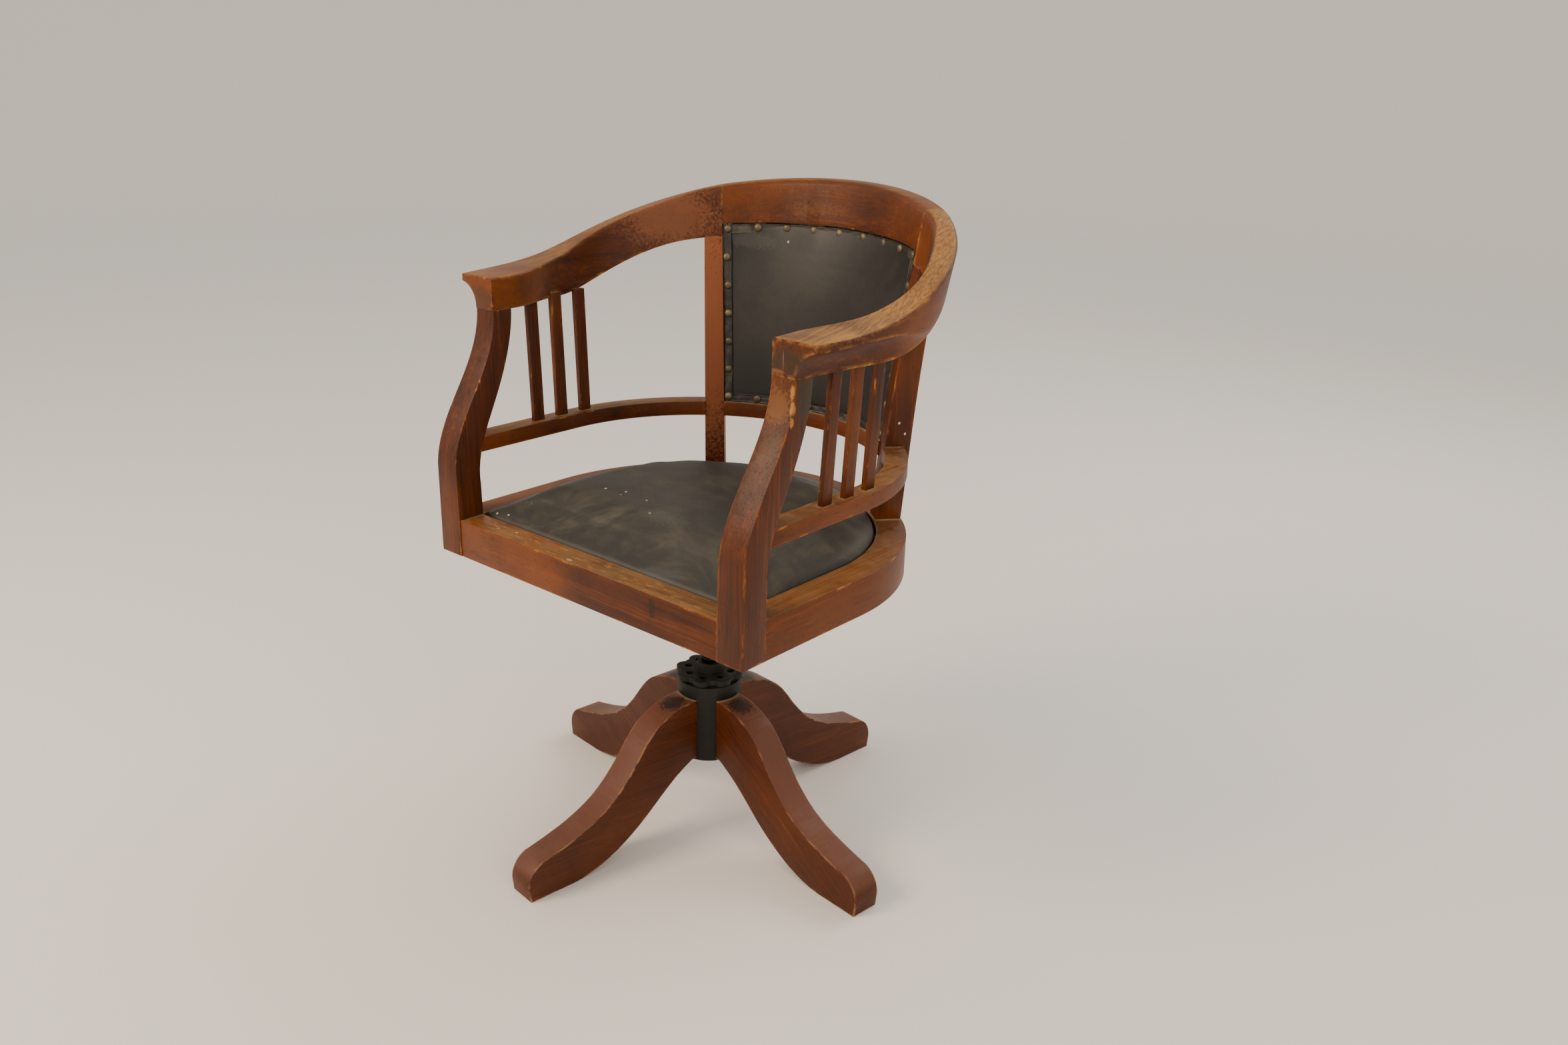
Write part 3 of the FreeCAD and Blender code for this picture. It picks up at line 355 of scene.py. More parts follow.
# the grain of each piece runs along the plank it was sawn from: turns that bring it onto X
alongX, alongY, alongZ = (0, 0, 0), (0, 0, 90), (0, 90, 0)
armTurn = 13.0   # degrees from straight ahead to the grain of an arm
legTurn = -6.6   # degrees that the cross of legs is turned
grease = {"from": 70, "height": 208, "reach": (24, 24, 26), "tint": "#0d0d0a"}  # beside the socket, in mm
woods = {
    "crest_rail": (alongX, {"wear": 0.35, "dusty": 0.12, "warm": 0.4, "topWear": 0.3, "marks": (
        # the grey oval first in this list is a painted highlight, where the right end of the rail catches the
        # light
        ((250, 150, 905), (70, 90, 40), "#6a5a4c", 0.45), ((-60, 290, 900), (90, 30, 16), "#7e4c22", 0.4))}),
    "arm_right": ((0, 0, 90 - armTurn), {"wear": 1.1, "topWear": 0.85, "warm": 0.45, "shift": 0.3,
                                         "edgeWidth": 1.9, "edge": "#9c672c", "marks": (
        ((285, -174, 790), (50, 8, 16), "#33291c", 0.65), ((273, -174, 792), (0.8, 3, 15), "#8f6d48", 0.5),
        ((264, -174, 778), (14, 5, 3), "#80552c", 0.6))}),
    "arm_left": ((0, 0, 90 + armTurn), {"wear": 0.9, "topWear": 0.5, "warm": 0.4, "shift": 0.7,
                                        "edgeWidth": 1.5, "edge": "#87592a", "marks": (
        ((-285, -174, 785), (50, 8, 22), "#2b2318", 0.5),
        # this broad paler oval near the crest is a painted sheen, where the rail's left end catches the light
        ((-225, 140, 880), (80, 100, 60), "#8a5332", 0.55))}),
    "front_post_right": (alongZ, {"wear": 1.0, "warm": 0.65, "shift": 0.11, "marks": (
        ((274, -198, 690), (18, 16, 44), "#5c4024", 0.5), ((288, -174, 757), (4, 6, 13), "#b87a36", 0.8),
        ((291, -177, 738), (4, 6, 11), "#b87a36", 0.8), ((292, -178, 722), (3, 4, 8), "#b87a36", 0.8),
        # the dark grey-green oval on the outer face is partly weathering and partly painted shade, where that
        # face is turned from the light
        ((292, -150, 750), (6, 26, 34), "#2c2d23", 0.7), ((268, -180, 742), (26, 12, 34), "#8d5c2c", 0.45))}),
    "front_post_left": (alongZ, {"wear": 0.6, "warm": 0.25, "shift": 0.53}),
    "rear_post_right": (alongZ, {"wear": 0.7, "warm": 0.5, "shift": 0.23, "marks": (
        ((189, 187, 630), (2.2, 2.2, 2.6), "#d9d0c0", 0.9),
        ((195, 194, 614), (1.8, 1.8, 2.2), "#d9d0c0", 0.9))}),
    # painted light: the high warm share and the broad orange oval over the whole post make it lighter,
    # standing in for the light it catches
    "rear_post_left": (alongZ, {"wear": 0.5, "warm": 0.9, "shift": 0.91, "marks": (
        ((-190, 190, 690), (70, 70, 260), "#9c5a34", 0.6),)}),
    "front_seat_rail": (alongX, {"wear": 0.6, "warm": 0.5, "dusty": 0.5, "topWear": 0.45, "shift": 0.41,
                                 "grime": 0.15, "rays": 0.45, "marks": (
        ((-25, -246, 485), (7, 4, 3), "#b09a78", 0.7), ((137, -253, 466), (8, 4, 16), "#1d120b", 0.7),
        ((-154, -229, 485), (3, 2, 2), "#d0c4b0", 0.8))}),
    "side_seat_rail_right": (alongY, {"wear": 0.6, "warm": 0.3, "dusty": 0.4, "topWear": 0.3, "shift": 0.37}),
    "side_seat_rail_left": (alongY, {"wear": 0.5, "warm": 0.5, "dusty": 0.4, "shift": 0.17}),
    "back_seat_rail": (alongX, {"wear": 0.4, "warm": 0.5, "dusty": 0.4, "shift": 0.67}),
    "middle_rail_right": (alongY, {"wear": 0.6, "warm": 0.4, "dusty": 0.7, "topWear": 0.3, "shift": 0.77}),
    "middle_rail_left": (alongY, {"wear": 0.6, "warm": 0.4, "dusty": 0.7, "topWear": 0.3, "shift": 0.07}),
    "middle_rail_back": (alongX, {"wear": 0.6, "warm": 0.35, "dusty": 0.7, "topWear": 0.3, "shift": 0.47}),
}
for side in ("right", "left"):
    for index in (1, 2, 3):
        woods["arm_slat_%s_%d" % (side, index)] = (alongZ, {"wear": 0.5, "warm": 0.3, "shift": 0.13 * index})
for quarter in range(4):
    turn = math.radians(legTurn + 90 * quarter)
    collar = (grease["from"] * math.cos(turn), grease["from"] * math.sin(turn), grease["height"])
    woods["leg_%d" % (quarter + 1)] = ((0, -32, -math.degrees(turn)), {
        "wear": 0.9, "warm": 0.2, "dusty": 0.15, "shift": 0.29 * quarter, "bloomAndTopLight": 0.7, "grime": 0.12,
        "figure": 0.2, "edge": "#a87a55", "edgeWidth": 0.8,
        "marks": ((collar, grease["reach"], grease["tint"], 0.8),)})


def sawnAndEased(name, width):
    # the solid's own faces made whole, then every arris eased as a plane and years of use leave it
    sawn = bmesh.new()
    sawn.from_mesh(nodes[name].data)
    bmesh.ops.remove_doubles(sawn, verts=sawn.verts, dist=0.01 * mm)
    bmesh.ops.dissolve_limit(sawn, angle_limit=math.radians(0.4), verts=sawn.verts, edges=sawn.edges)
    mesh = bpy.data.meshes.new(name)
    sawn.to_mesh(mesh)
    sawn.free()
    piece = placed(name + "_eased", mesh)
    easing = piece.modifiers.new("eased", "BEVEL")
    easing.width = width
    easing.segments = 3
    easing.limit_method = "ANGLE"
    easing.angle_limit = math.radians(38)
    easing.use_clamp_overlap = True
    return settled(piece)


def makeWood():
    easing = {"arm_slat": 0.9, "middle_rail": 0.9, "front_post": 2.0, "rear_post": 2.0, "leg": 2.4}
    for name, (grain, look) in woods.items():
        width = next((w for start, w in easing.items() if name.startswith(start)), 1.6)
        fitted(sawnAndEased(name, width * mm), stainedOak(name + "StainedOak", grain, look),
               nodes[name]["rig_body"], "stained_oak", name)


makeWood()
print("oak pieces made:", len(woods))


# leathercloth, iron, steel and plain timber

leathers = {
    # black leathercloth, a coated cotton with a pressed grain: dull where dusty, sleek where rubbed
    "seatLeathercloth": {"deep": "#2c2a26", "bloomAndTopLight": "#615b48", "cloudScale": 6.0, "bloomShare": 0.6,
                         "rough": 0.50, "grain": 0.22, "swirl": 2.4, "marks": (
        ((-112, -100, 525), (2.6, 2.2, 20), "#d6cfc2", 0.9),
        ((-80, -91, 525), (2.2, 2.2, 20), "#d6cfc2", 0.9),
        ((-78, -103, 525), (2.2, 1.8, 20), "#b5713a", 0.9), ((3, -125, 520), (2.4, 2.0, 20), "#d6cfc2", 0.9),
        ((-33, -96, 525), (2.0, 2.0, 20), "#c9c1b2", 0.8),
        ((-206, -201, 492), (2.4, 2.0, 20), "#d6cfc2", 0.9),
        ((-225, -206, 490), (2.4, 2.0, 20), "#c9c1b2", 0.8),
        ((-191, -179, 513), (26, 14, 12), "#6b6860", 0.4),
        # the bluish oval last in this list, at the front edge, is a painted sheen
        ((30, -122, 524), (60, 22, 8), "#55544b", 0.35), ((106, -206, 490), (40, 14, 14), "#43484d", 0.35))},
    "backLeathercloth": {"deep": "#1a1917", "bloomAndTopLight": "#37332d", "cloudScale": 4.0, "bloomShare": 0.7,
                         "rough": 0.42, "grain": 0.14, "swirl": 1.2, "marks": (
        # this broad grey oval at the upper left is a painted sheen
        ((-141, 236, 846), (60, 30, 14), "#4c4a46", 0.3),
        ((-85, 257, 848), (2.2, 2.2, 2.2), "#c9c1b2", 0.8))},
    # the same cloth cut in strips and folded under
    "edgingLeathercloth": {"deep": "#1a1715", "bloomAndTopLight": "#5a5048", "cloudScale": 30.0, "bloomShare": 0.85,
                           "rough": 0.40, "grain": 0.2, "swirl": 1.0, "marks": ()},
}
metals = {
    # cast iron blacked with paint long ago: dull and pitted, grease and dust in the hollows
    "blackedCastIron": {"deep": "#0e0f0d", "dusty": "#312f29", "rough": 0.60, "metallic": 0.35, "pit": 130.0,
                        "bump": 0.3},
    # mild steel turned bright and gone brown under old oil
    "oiledSteel": {"deep": "#2b2826", "dusty": "#4a4037", "rough": 0.38, "metallic": 0.85, "pit": 260.0,
                   "bump": 0.1},
    # brass-plated steel nails, gone grey-tan; the upper side of each head is paler, partly dust and partly a
    # painted highlight
    "antiqueBrass": {"deep": "#5a5040", "dusty": "#9c917b", "rough": 0.42, "metallic": 0.5, "pit": 420.0,
                     "bump": 0.12},
}
timbers = {
    # blocks, bearers and dowels inside the frame: oak from the saw, never stained
    "sawnOak": {"dark": "#6b4a30", "light": "#a07a52", "lines": (9, 240, 240)},
    # the boards under the padding: thin birch sheet, peeled and glued
    "birchBoard": {"dark": "#8a6a48", "light": "#b89a72", "lines": (12, 160, 160)},
}


def leathercloth(look, add):
    here = add("ShaderNodeTexCoord").outputs["Object"]
    cloud = add("ShaderNodeTexNoise", None, here, look["cloudScale"], 6.0, 0.62, 2.0, look["swirl"])
    wiped = add("ShaderNodeVectorMath", times, here, (9, 26, 12))
    wipe = add("ShaderNodeTexNoise", None, wiped, 1.0, 4.0, 0.6, 2.0, 0.8)
    bloomed = add("ShaderNodeMapRange", eased, cloud, 0.40, 0.70, 0.0, look["bloomShare"])
    bloomAndTopLight = add("ShaderNodeMath", times, bloomed, add("ShaderNodeMapRange", eased, wipe, 0.25, 0.70))
    # painted shade: in creases and where the cloth meets another part it is mixed towards near-black
    hollow = add("ShaderNodeAmbientOcclusion", {"samples": 4}, (1, 1, 1, 1), 4 * mm).outputs["AO"]
    colour = linear(look["deep"])
    for share, tint in [(bloomAndTopLight, look["bloomAndTopLight"])] + spots(add, here, look["marks"]) + [
            (add("ShaderNodeMapRange", eased, hollow, 0.7, 0.35, 0.0, 0.7), "#080707")]:
        colour = add("ShaderNodeMix", colours, share, colour, linear(tint))
    pressed = add("ShaderNodeTexVoronoi", {"feature": "DISTANCE_TO_EDGE"}, here, 700.0)
    pressed = add("ShaderNodeMapRange", eased, pressed, 0.0, 0.25)  # real grain is 0.8 mm, drawn 1.4 mm
    uneven = add("ShaderNodeTexNoise", None, here, 60.0, 4.0, 0.6)  # the cotton under it, about 17 mm across
    height = add("ShaderNodeMath", plusTimes, pressed, 0.35, uneven)
    return {"Base Color": colour, "IOR": 1.5,
            "Roughness": add("ShaderNodeMath", plusTimes, bloomAndTopLight, 0.3, look["rough"]),
            "Normal": add("ShaderNodeBump", None, Strength=look["grain"], Distance=1 * mm, Height=height)}


def metal(look, add):
    here = add("ShaderNodeTexCoord").outputs["Object"]
    cloud = add("ShaderNodeTexNoise", None, here, 24.0, 5.0, 0.6, 2.0, 0.5)
    pits = add("ShaderNodeTexNoise", None, here, look["pit"], 3.0, 0.6)
    up = add("ShaderNodeSeparateXYZ", None, add("ShaderNodeNewGeometry").outputs["Normal"]).outputs["Z"]
    # paler on upward faces: dust on the iron, and on the nail heads dust with a painted highlight
    dusty = add("ShaderNodeMath", times, add("ShaderNodeMapRange", eased, cloud, 0.35, 0.75),
                add("ShaderNodeMapRange", eased, up, -0.4, 0.9))
    return {"Base Color": add("ShaderNodeMix", colours, dusty, linear(look["deep"]), linear(look["dusty"])),
            "Metallic": look["metallic"],
            "Roughness": add("ShaderNodeMath", plusTimes, dusty, 0.2, look["rough"]),
            "Normal": add("ShaderNodeBump", None, Strength=look["bump"], Distance=0.8 * mm, Height=pits)}


def timber(look, add):
    here = add("ShaderNodeTexCoord").outputs["Object"]
    drawn = add("ShaderNodeVectorMath", times, here, look["lines"])
    lines = add("ShaderNodeTexNoise", None, drawn, 1.0, 5.0, 0.6, 2.0, 0.3)
    cloud = add("ShaderNodeTexNoise", None, here, 12.0, 3.0)
    colour = linear(look["dark"])
    for share, tint in ((add("ShaderNodeMapRange", eased, lines, 0.35, 0.68), look["light"]),
                        (add("ShaderNodeMapRange", eased, cloud, 0.5, 0.8, 0.0, 0.4), "#4a3524")):
        colour = add("ShaderNodeMix", colours, share, colour, linear(tint))
    return {"Base Color": colour, "Roughness": 0.78,
            "Normal": add("ShaderNodeBump", None, Strength=0.3, Distance=0.6 * mm, Height=lines)}


finish = {}
for kinds, paint in ((leathers, leathercloth), (metals, metal), (timbers, timber)):
    for name, look in kinds.items():
        finish[name] = coat(name, partial(paint, look))

carried = {
    "seat_iron": "blackedCastIron", "tie_plate": "blackedCastIron",
    "seat_iron_screws": "oiledSteel", "leg_bolts": "oiledSteel", "leg_nuts": "oiledSteel",
    "guide_bush": "oiledSteel", "thrust_washer": "oiledSteel", "swivel_retaining_ring": "oiledSteel",
    "frame_dowels": "sawnOak", "seat_bearer_left": "sawnOak", "seat_bearer_right": "sawnOak",
    "corner_block_left": "sawnOak", "corner_block_right": "sawnOak",
    "seat_board": "birchBoard", "back_board": "birchBoard", "back_outside_cover": "backLeathercloth",
}
for name, kind in carried.items():
    nodes[name].data.materials.clear()
    nodes[name].data.materials.append(finish[kind])
for name in ("handwheel", "base_socket"):
    fitted(sawnAndEased(name, 1.2 * mm), finish["blackedCastIron"], nodes[name]["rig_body"], "cast_iron", name)
print("iron, steel and inner timber dressed")


def mergedCopy(name, label):
    mesh = nodes[name].data.copy()
    shape = bmesh.new()
    shape.from_mesh(mesh)
    bmesh.ops.remove_doubles(shape, verts=shape.verts, dist=0.01 * mm)
    shape.to_mesh(mesh)
    shape.free()
    mesh.name = label
    return placed(label, mesh)


def places(mesh):
    co = np.empty(len(mesh.vertices) * 3, np.float32)
    mesh.vertices.foreach_get("co", co)
    return co.reshape(-1, 3).astype(float)


def moveTo(mesh, co):
    mesh.vertices.foreach_set("co", co.astype(np.float32).ravel())
    mesh.update()


def nodeTree(name, wants):
    # an empty Geometry Nodes tree with its named inputs: label, kind of socket, value
    tree = bpy.data.node_groups.new(name, "GeometryNodeTree")
    tree.interface.new_socket("Geometry", in_out="INPUT", socket_type="NodeSocketGeometry")
    for label, (kind, value) in wants.items():
        tree.interface.new_socket(label, in_out="INPUT", socket_type="NodeSocket" + kind)
    tree.interface.new_socket("Geometry", in_out="OUTPUT", socket_type="NodeSocketGeometry")
    return tree, partial(addNode, tree), tree.nodes.new("NodeGroupInput").outputs


def grown(piece, tree, wants):
    # the tree run on the piece with its inputs set, and its result kept as plain mesh
    modifier = piece.modifiers.new(tree.name, "NODES")
    modifier.node_group = tree
    for item in tree.interface.items_tree:
        if item.in_out == "INPUT" and item.name in wants:
            modifier[item.identifier] = wants[item.name][1]
    piece.data = bpy.data.meshes.new_from_object(piece.evaluated_get(bpy.context.evaluated_depsgraph_get()))
    piece.modifiers.clear()
    return piece


# the spindle and its thread

spindle = {
    "Pitch": ("Float", 8.0 * mm), "Core radius": ("Float", 12.5 * mm), "Ridge": ("Float", 1.0 * mm),
    "Foot": ("Float", 114 * mm), "Length": ("Float", 275 * mm), "Finish": ("Material", finish["oiledSteel"]),
}


spindleCollar = 391 * mm  # just under the collar, where the thread ends


def makeSpindle():
    piece = mergedCopy("spindle", "threaded_spindle")
    co = places(piece.data)
    radius = np.hypot(co[:, 0], co[:, 1])
    cutTo = spindle["Core radius"][1]
    cut = (co[:, 2] < spindleCollar) & (radius > cutTo)
    co[cut, :2] *= (cutTo / radius[cut])[:, None]
    moveTo(piece.data, co)

    tree, add, given = nodeTree("squareThread", spindle)
    turns = add("ShaderNodeMath", {"operation": "DIVIDE"}, given["Length"], given["Pitch"])
    core = given["Core radius"]
    helix = add("GeometryNodeCurveSpiral", None, 28, turns, core, core, given["Length"])
    ridge = add("GeometryNodeCurveToMesh", None, helix,
                add("GeometryNodeCurvePrimitiveCircle", {"mode": "RADIUS"}, 6, given["Ridge"]))
    foot = add("ShaderNodeCombineXYZ", None, Z=given["Foot"])
    risen = add("GeometryNodeTransform", None, ridge, Translation=foot)
    both = add("GeometryNodeJoinGeometry", None, given["Geometry"])
    tree.links.new(risen.outputs[0], both.inputs[0])
    whole = add("GeometryNodeRealizeInstances", None, both)
    add("NodeGroupOutput", None, add("GeometryNodeSetMaterial", None, whole, Material=given["Finish"]))
    grown(piece, tree, spindle)
    piece.data.shade_smooth()
    piece.data.set_sharp_from_angle(angle=math.radians(50))
    fitted(piece, finish["oiledSteel"], "spindle", "turned_steel", "spindle")


makeSpindle()
print("thread cut on the spindle")


# the padded seat

cushion = {
    "voxel": 5.0 * mm, "drawnIn": 1.0 * mm, "lowered": 4.0 * mm, "pressure": 4.0,
    "frames": 20, "mostMove": 7.0 * mm, "calm": 14, "hollow": 1.6 * mm, "creases": 0.7 * mm, "seed": 4,
    "frontDrop": 0.5, "frontReach": 85 * mm,   # the front edge is sat nearly level with the rail
}


def remeshed(piece, voxel):
    again = piece.modifiers.new("even", "REMESH")
    again.mode = "VOXEL"
    again.voxel_size = voxel
    return settled(piece)


def swell(piece, look, held):
    # a cover filled from inside: the held rim stays, the rest rises and settles by itself
    before = places(piece.data)
    group = piece.vertex_groups.new(name="held")
    for index in np.nonzero(held > 0)[0]:
        group.add([int(index)], float(held[index]), "REPLACE")
    cover = piece.modifiers.new("cover", "CLOTH")
    cloth = cover.settings
    cloth.use_pressure = True
    cloth.uniform_pressure_force = look["pressure"]
    cloth.effector_weights.gravity = 0
    cloth.vertex_group_mass = "held"
    cloth.tension_stiffness = cloth.compression_stiffness = 18
    cloth.bending_stiffness = 0.8
    cloth.quality = 5
    cover.collision_settings.use_self_collision = False
    stage = bpy.context.scene
    stage.frame_start, stage.frame_end = 1, look["frames"]
    cover.point_cache.frame_start, cover.point_cache.frame_end = 1, look["frames"]
    for step in range(1, look["frames"] + 1):
        stage.frame_set(step)
    after = places(piece.evaluated_get(bpy.context.evaluated_depsgraph_get()).data)
    piece.modifiers.remove(cover)
    piece.vertex_groups.clear()
    stage.frame_set(1)
    move = after - before
    length = np.linalg.norm(move, axis=1, keepdims=True)
    move *= np.minimum(1, look["mostMove"] / np.maximum(length, 1e-9))
    # the stuffing under the cover evens out its creases: each point's move drawn to its neighbours'
    pairs = np.empty(len(piece.data.edges) * 2, np.int32)
    piece.data.edges.foreach_get("vertices", pairs)
    one, other = pairs.reshape(-1, 2).T
    share = np.bincount(pairs, minlength=len(move)).reshape(-1, 1)
    for _ in range(look["calm"]):
        total = np.zeros_like(move)
        np.add.at(total, one, move[other])
        np.add.at(total, other, move[one])
        move = (move + total / share) / 2
    moveTo(piece.data, before + move)


def waves(co, seed, size, count=7):
    # a gentle uneven surface: a few broad sine waves in chance directions
    chance = random.Random(seed)
    total = np.zeros(len(co))
    for _ in range(count):
        angle = chance.uniform(0, math.tau)
        length = size * chance.uniform(0.6, 1.6)
        run = co[:, 0] * math.cos(angle) + co[:, 1] * math.sin(angle)
        total += np.sin(run / length * math.tau + chance.uniform(0, math.tau))
    return total / count


def finer(piece):
    rounder = piece.modifiers.new("finer", "SUBSURF")
    rounder.levels = rounder.render_levels = 1
    return settled(piece)


def makeSeatCushion():
    piece = mergedCopy("seat_cushion", "padded_seat")
    co = places(piece.data)
    low, top, front = co[:, 2].min(), co[:, 2].max(), co[:, 1].min()
    share = (co[:, 2] - low) / (top - low)
    middle = np.array([0, ringCentre.y])
    reach = np.linalg.norm(co[:, :2] - middle, axis=1, keepdims=True)
    co[:, :2] -= (co[:, :2] - middle) / np.maximum(reach, 1e-6) * cushion["drawnIn"]
    co[:, 2] -= share * cushion["lowered"]
    moveTo(piece.data, co)
    remeshed(piece, cushion["voxel"])
    co = places(piece.data)
    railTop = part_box("front_seat_rail")[1].z
    held = np.clip((railTop + 6 * mm - co[:, 2]) / (10 * mm), 0, 1)
    swell(piece, cushion, held)
    co = places(piece.data)
    free = np.clip((co[:, 2] - railTop) / (30 * mm), 0, 1)
    dent = waves(co, cushion["seed"], 0.30) * cushion["hollow"] + waves(co, 9, 0.075, 9) * cushion["creases"]
    co[:, 2] += dent * free
    back = np.clip((co[:, 1] - front) / cushion["frontReach"], 0, 1)
    keep = 1 - cushion["frontDrop"] * (1 - back * back * (3 - 2 * back))
    above = np.maximum(co[:, 2] - railTop, 0)
    co[:, 2] -= above * (1 - keep)
    moveTo(piece.data, co)
    finer(piece)
    fitted(piece, finish["seatLeathercloth"], "seat", "seat_leathercloth", "seat_cushion")


makeSeatCushion()
print("seat padded")


# the back panel: pad, edging strips and nails

pad = {"voxel": 3.2 * mm, "pressure": 3.0, "frames": 14, "mostMove": 2.2 * mm, "calm": 60, "rim": 15 * mm}
strip = {
    "width": 13.3 * mm, "rise": {"top": 1.9 * mm, "low": 2.1 * mm, "left": 2.8 * mm, "right": 2.8 * mm},
    "gap": {"top": 2.2 * mm, "low": 0.6 * mm, "left": 0.6 * mm, "right": 0.6 * mm},
    "wave": {"top": 0.12 * mm, "low": 0.35 * mm, "left": 0.15 * mm, "right": 0.15 * mm},
    "step": 3.0 * mm, "seed": 21,
}
nailGaps = {"top": 8, "low": 7, "left": 6, "right": 6}
nail = {
    "Head radius": ("Float", 6.4 * mm), "Head height": ("Float", 3.6 * mm), "Unevenness": ("Float", 0.05),
    "Seed": ("Int", 5), "Finish": ("Material", finish["antiqueBrass"]),
}


def feeler(name):
    mesh = nodes[name].data
    return BVHTree.FromPolygons([v.co for v in mesh.vertices], [p.vertices for p in mesh.polygons])


boardTree, crestTree = feeler("back_board"), feeler("crest_rail")
crestMiddle = 0.312             # the rail's middle line, from the ring's centre
crestEnd = math.radians(37.6)   # past here the rail's ends turn away


def outward(angle):
    return Vector((math.sin(angle), math.cos(angle), 0))  # angle from straight back, to the sitter's left


def boardHit(height):
    start = Vector((0, ringCentre.y, height))
    return (boardTree.ray_cast(start, outward(0))[0] - start).length


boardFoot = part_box("back_board")[0].z + 20 * mm
boardReach = boardHit(boardFoot)
boardLean = (boardHit(boardFoot + 0.2) - boardReach) / 0.2  # the board is part of an upright cone


def boardRadius(height):
    return boardReach + boardLean * (height - boardFoot)


def crestUnder(angle):
    # the height of the crest rail's underside, felt from below at the middle of the rail
    start = Vector((0, ringCentre.y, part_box("back_board")[0].z))
    start += outward(max(-crestEnd, min(crestEnd, angle))) * crestMiddle
    return crestTree.ray_cast(start, Vector((0, 0, 1)))[0].z


def panelCorners():
    co = places(nodes["back_edging"].data)
    angle = np.abs(np.arctan2(co[:, 0], co[:, 1] - ringCentre.y))
    bottom = co[:, 2] < co[:, 2].min() + 2 * mm
    side = angle > angle.max() - 0.03
    ends = side & (co[:, 2] > co[side, 2].max() - 6 * mm)
    low, top = float(angle[bottom].max()), float(angle[ends].max())
    return (low, float(co[:, 2].min())), (top, min(crestUnder(top), float(co[:, 2].max())))


(lowAngle, lowHeight), (topAngle, topHeight) = panelCorners()


def onPanel(angle, height, lift):
    # a point on the front of the panel, lifted towards the sitter
    return Vector((0, ringCentre.y, height)) + outward(angle) * (boardRadius(height) - lift)


def sideAngle(height):
    return lowAngle + (topAngle - lowAngle) * (height - lowHeight) / (topHeight - lowHeight)


def edgeLine(side, inset, share):
    # the panel's outline, drawn in by inset
    if side in ("left", "right"):
        height = lowHeight + inset + share * (topHeight - lowHeight - 2 * inset)
        angle = sideAngle(height) - inset / boardRadius(height)
        return (-angle if side == "left" else angle), height
    if side == "low":
        height = lowHeight + inset
        return (2 * share - 1) * (sideAngle(height) - inset / boardRadius(height)), height
    angle = (2 * share - 1) * (topAngle - inset / boardRadius(topHeight))
    return angle, crestUnder(angle) - inset


def makeBackPad():
    piece = mergedCopy("back_pad", "padded_back")
    remeshed(piece, pad["voxel"])
    co = places(piece.data)
    radius = np.hypot(co[:, 0], co[:, 1] - ringCentre.y)
    angle = np.abs(np.arctan2(co[:, 0], co[:, 1] - ringCentre.y))
    share = (co[:, 2] - lowHeight) / (topHeight - lowHeight)
    fromSide = (lowAngle + (topAngle - lowAngle) * share - angle) * radius
    stops = np.linspace(0, topAngle, 12)
    fromTop = np.interp(angle, stops, [crestUnder(stop) for stop in stops]) - co[:, 2]
    inner = np.minimum(np.minimum(fromSide, fromTop), co[:, 2] - lowHeight)
    held = np.clip(1 - (inner - pad["rim"]) / (12 * mm), 0, 1)
    swell(piece, pad, held)
    finer(piece)
    fitted(piece, finish["backLeathercloth"], "seat", "back_leathercloth", "back_pad")


def makeEdging():
    # four strips with folded hems, the upright pair laid over the ends of the other two
    chance = random.Random(strip["seed"])
    half = strip["width"] / 2
    verts, faces = [], []
    hem = [(-1.0, 0.0), (-1.05, 0.5), (-0.98, 0.95), (-0.86, 1.08), (-0.74, 0.80), (-0.6, 0.76), (-0.3, 0.93)]
    section = hem + [(0.0, 1.0)] + [(-across, out) for across, out in reversed(hem)]
    wide = len(section)
    for side, gaps in nailGaps.items():
        upright = side in ("left", "right")
        start, end = edgeLine(side, half, 0), edgeLine(side, half, 1)
        length = (onPanel(*start, 0) - onPanel(*end, 0)).length * (1.0 if upright else 1.1)
        count = int(length / strip["step"])
        phase = chance.uniform(0, math.tau)
        base = len(verts)
        over = half / length * (1.0 if upright else 0.35)
        for i in range(count + 1):
            share = -over + (1 + 2 * over) * i / count
            beat = 0.5 + 0.5 * math.cos(share * gaps * math.tau)   # 1 at each nail
            sway = 0.25 * mm * math.sin(share * 19 + phase) + 0.15 * mm * math.sin(share * 47 + 2 * phase)
            for across, out in section:
                inset = half + strip["gap"][side] + across * half * (1 - 0.03 * beat) + sway
                ripple = strip["wave"][side] * math.sin(share * 90 + across * 3 + phase)
                height = strip["rise"][side] * out * (1 - 0.35 * beat * (1 - across * across)) + ripple
                height = height + 3.0 * mm if out else 0.5 * mm
                verts.append(onPanel(*edgeLine(side, inset, share), height))
        for i in range(count):
            low, high = base + i * wide, base + (i + 1) * wide
            faces += [(low + j, low + (j + 1) % wide, high + (j + 1) % wide, high + j) for j in range(wide)]
        faces.append(tuple(base + j for j in range(wide)))
        faces.append(tuple(base + count * wide + j for j in reversed(range(wide))))
    mesh = bpy.data.meshes.new("edging_strips")
    mesh.from_pydata(verts, [], faces)
    shape = bmesh.new()
    shape.from_mesh(mesh)
    bmesh.ops.recalc_face_normals(shape, faces=shape.faces)
    shape.to_mesh(mesh)
    shape.free()
    mesh.shade_smooth()
    mesh.set_sharp_from_angle(angle=math.radians(50))
    piece = placed("edging_strips", mesh)
    fitted(piece, finish["edgingLeathercloth"], "seat", "back_leathercloth", "back_edging")


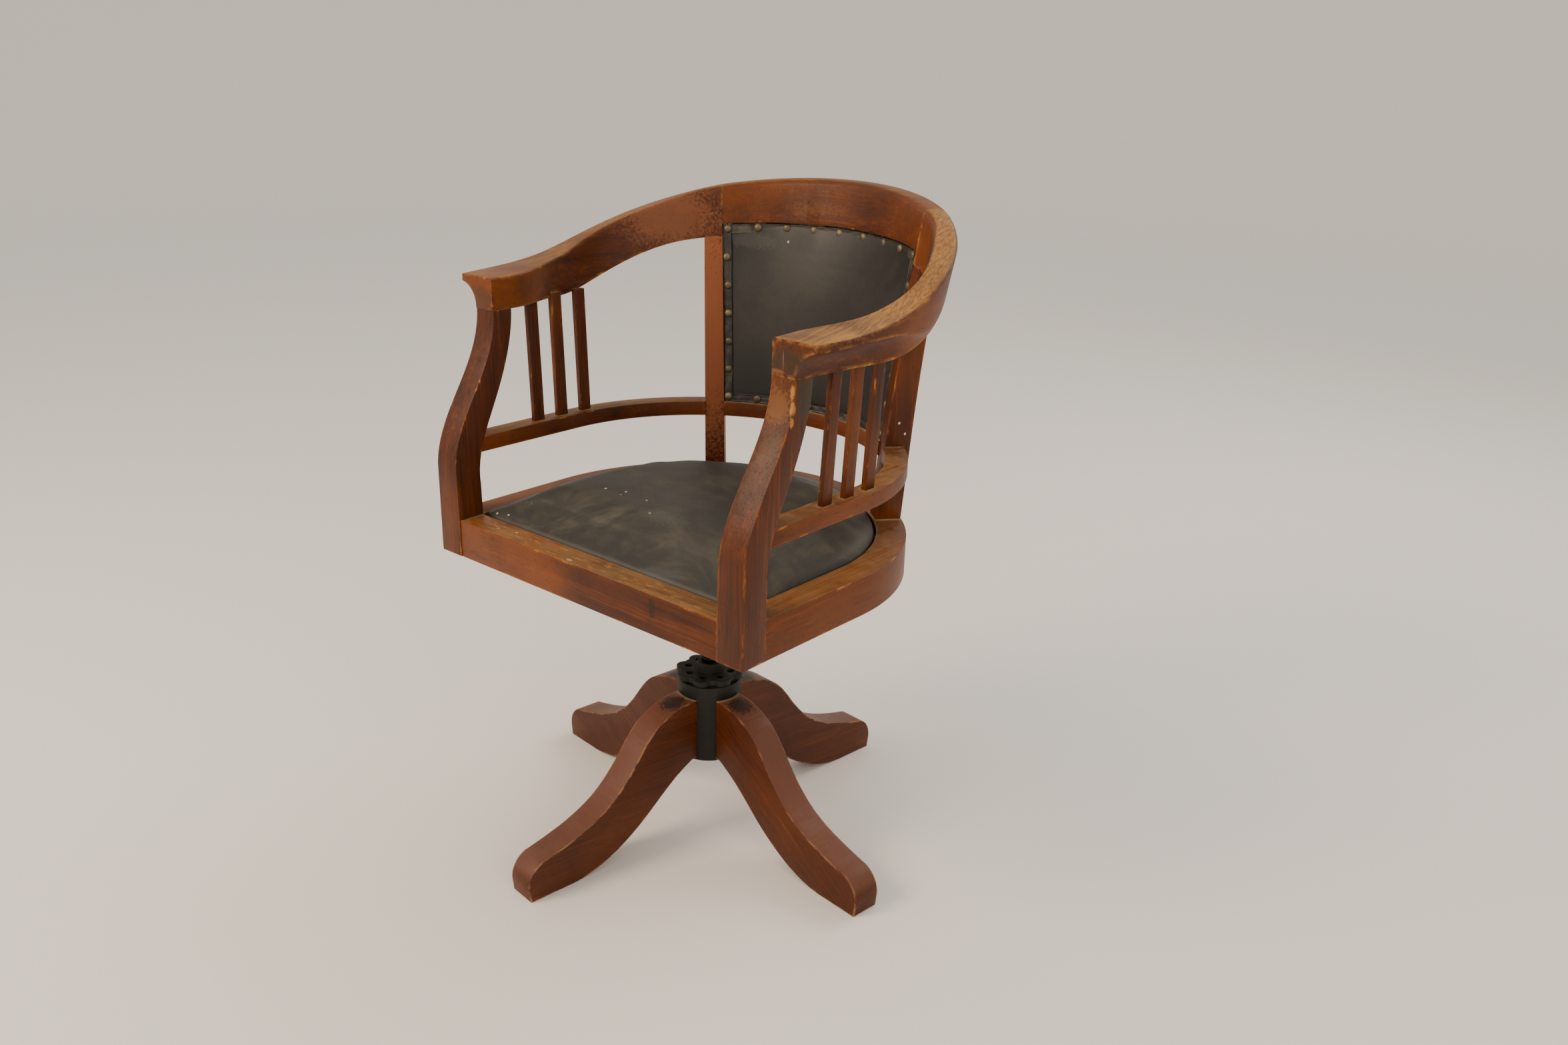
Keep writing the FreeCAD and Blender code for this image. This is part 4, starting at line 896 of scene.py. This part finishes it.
def nailTree():
    tree, add, given = nodeTree("domedNails", nail)
    size = add("ShaderNodeCombineXYZ", None, given["Head radius"], given["Head radius"], given["Head height"])
    ball = add("GeometryNodeMeshUVSphere", None, Segments=20, Rings=12, Radius=1.0)
    dome = add("GeometryNodeTransform", None, ball, Scale=size)
    facing = add("GeometryNodeInputNamedAttribute", {"data_type": "FLOAT_VECTOR"}, Name="facing")
    turned = add("FunctionNodeAlignRotationToVector", {"axis": "Z"}, Vector=facing)
    chance = add("FunctionNodeRandomValue", {"data_type": "FLOAT"}, Seed=given["Seed"],
                 Min=add("ShaderNodeMath", minus, 1.0, given["Unevenness"]),
                 Max=add("ShaderNodeMath", plus, 1.0, given["Unevenness"]))
    spread = add("GeometryNodeInstanceOnPoints", None, given["Geometry"], Instance=dome, Rotation=turned,
                 Scale=chance)
    whole = add("GeometryNodeRealizeInstances", None, spread)
    smooth = add("GeometryNodeSetShadeSmooth", None, whole)
    add("NodeGroupOutput", None, add("GeometryNodeSetMaterial", None, smooth, Material=given["Finish"]))
    return tree


def makeNails():
    points = []
    for side, gaps in nailGaps.items():
        ends = side in ("top", "low")  # the corner nails belong to these two
        for i in range(0 if ends else 1, gaps + 1 if ends else gaps):
            points.append(edgeLine(side, strip["width"] / 2 + strip["gap"][side], i / gaps))
    chance = random.Random(nail["Seed"][1])
    verts, facings = [], []
    for angle, height in points:
        angle += chance.uniform(-0.8, 0.8) * mm / 0.26
        height += chance.uniform(-0.8, 0.8) * mm
        verts.append(onPanel(angle, height, 4.3 * mm))
        tilt = Vector((chance.uniform(-0.08, 0.08), 0, chance.uniform(-0.08, 0.08)))
        facings.append(-outward(angle) + tilt)
    mesh = bpy.data.meshes.new("back_nails")
    mesh.from_pydata(verts, [], [])
    facing = mesh.attributes.new("facing", "FLOAT_VECTOR", "POINT")
    facing.data.foreach_set("vector", [c for v in facings for c in v])
    piece = grown(placed("back_nails", mesh), nailTree(), nail)
    fitted(piece, finish["antiqueBrass"], "seat", "turned_steel")
    print("nails:", len(points))


makeBackPad()
makeEdging()
makeNails()
print("back panel padded, edged and nailed")
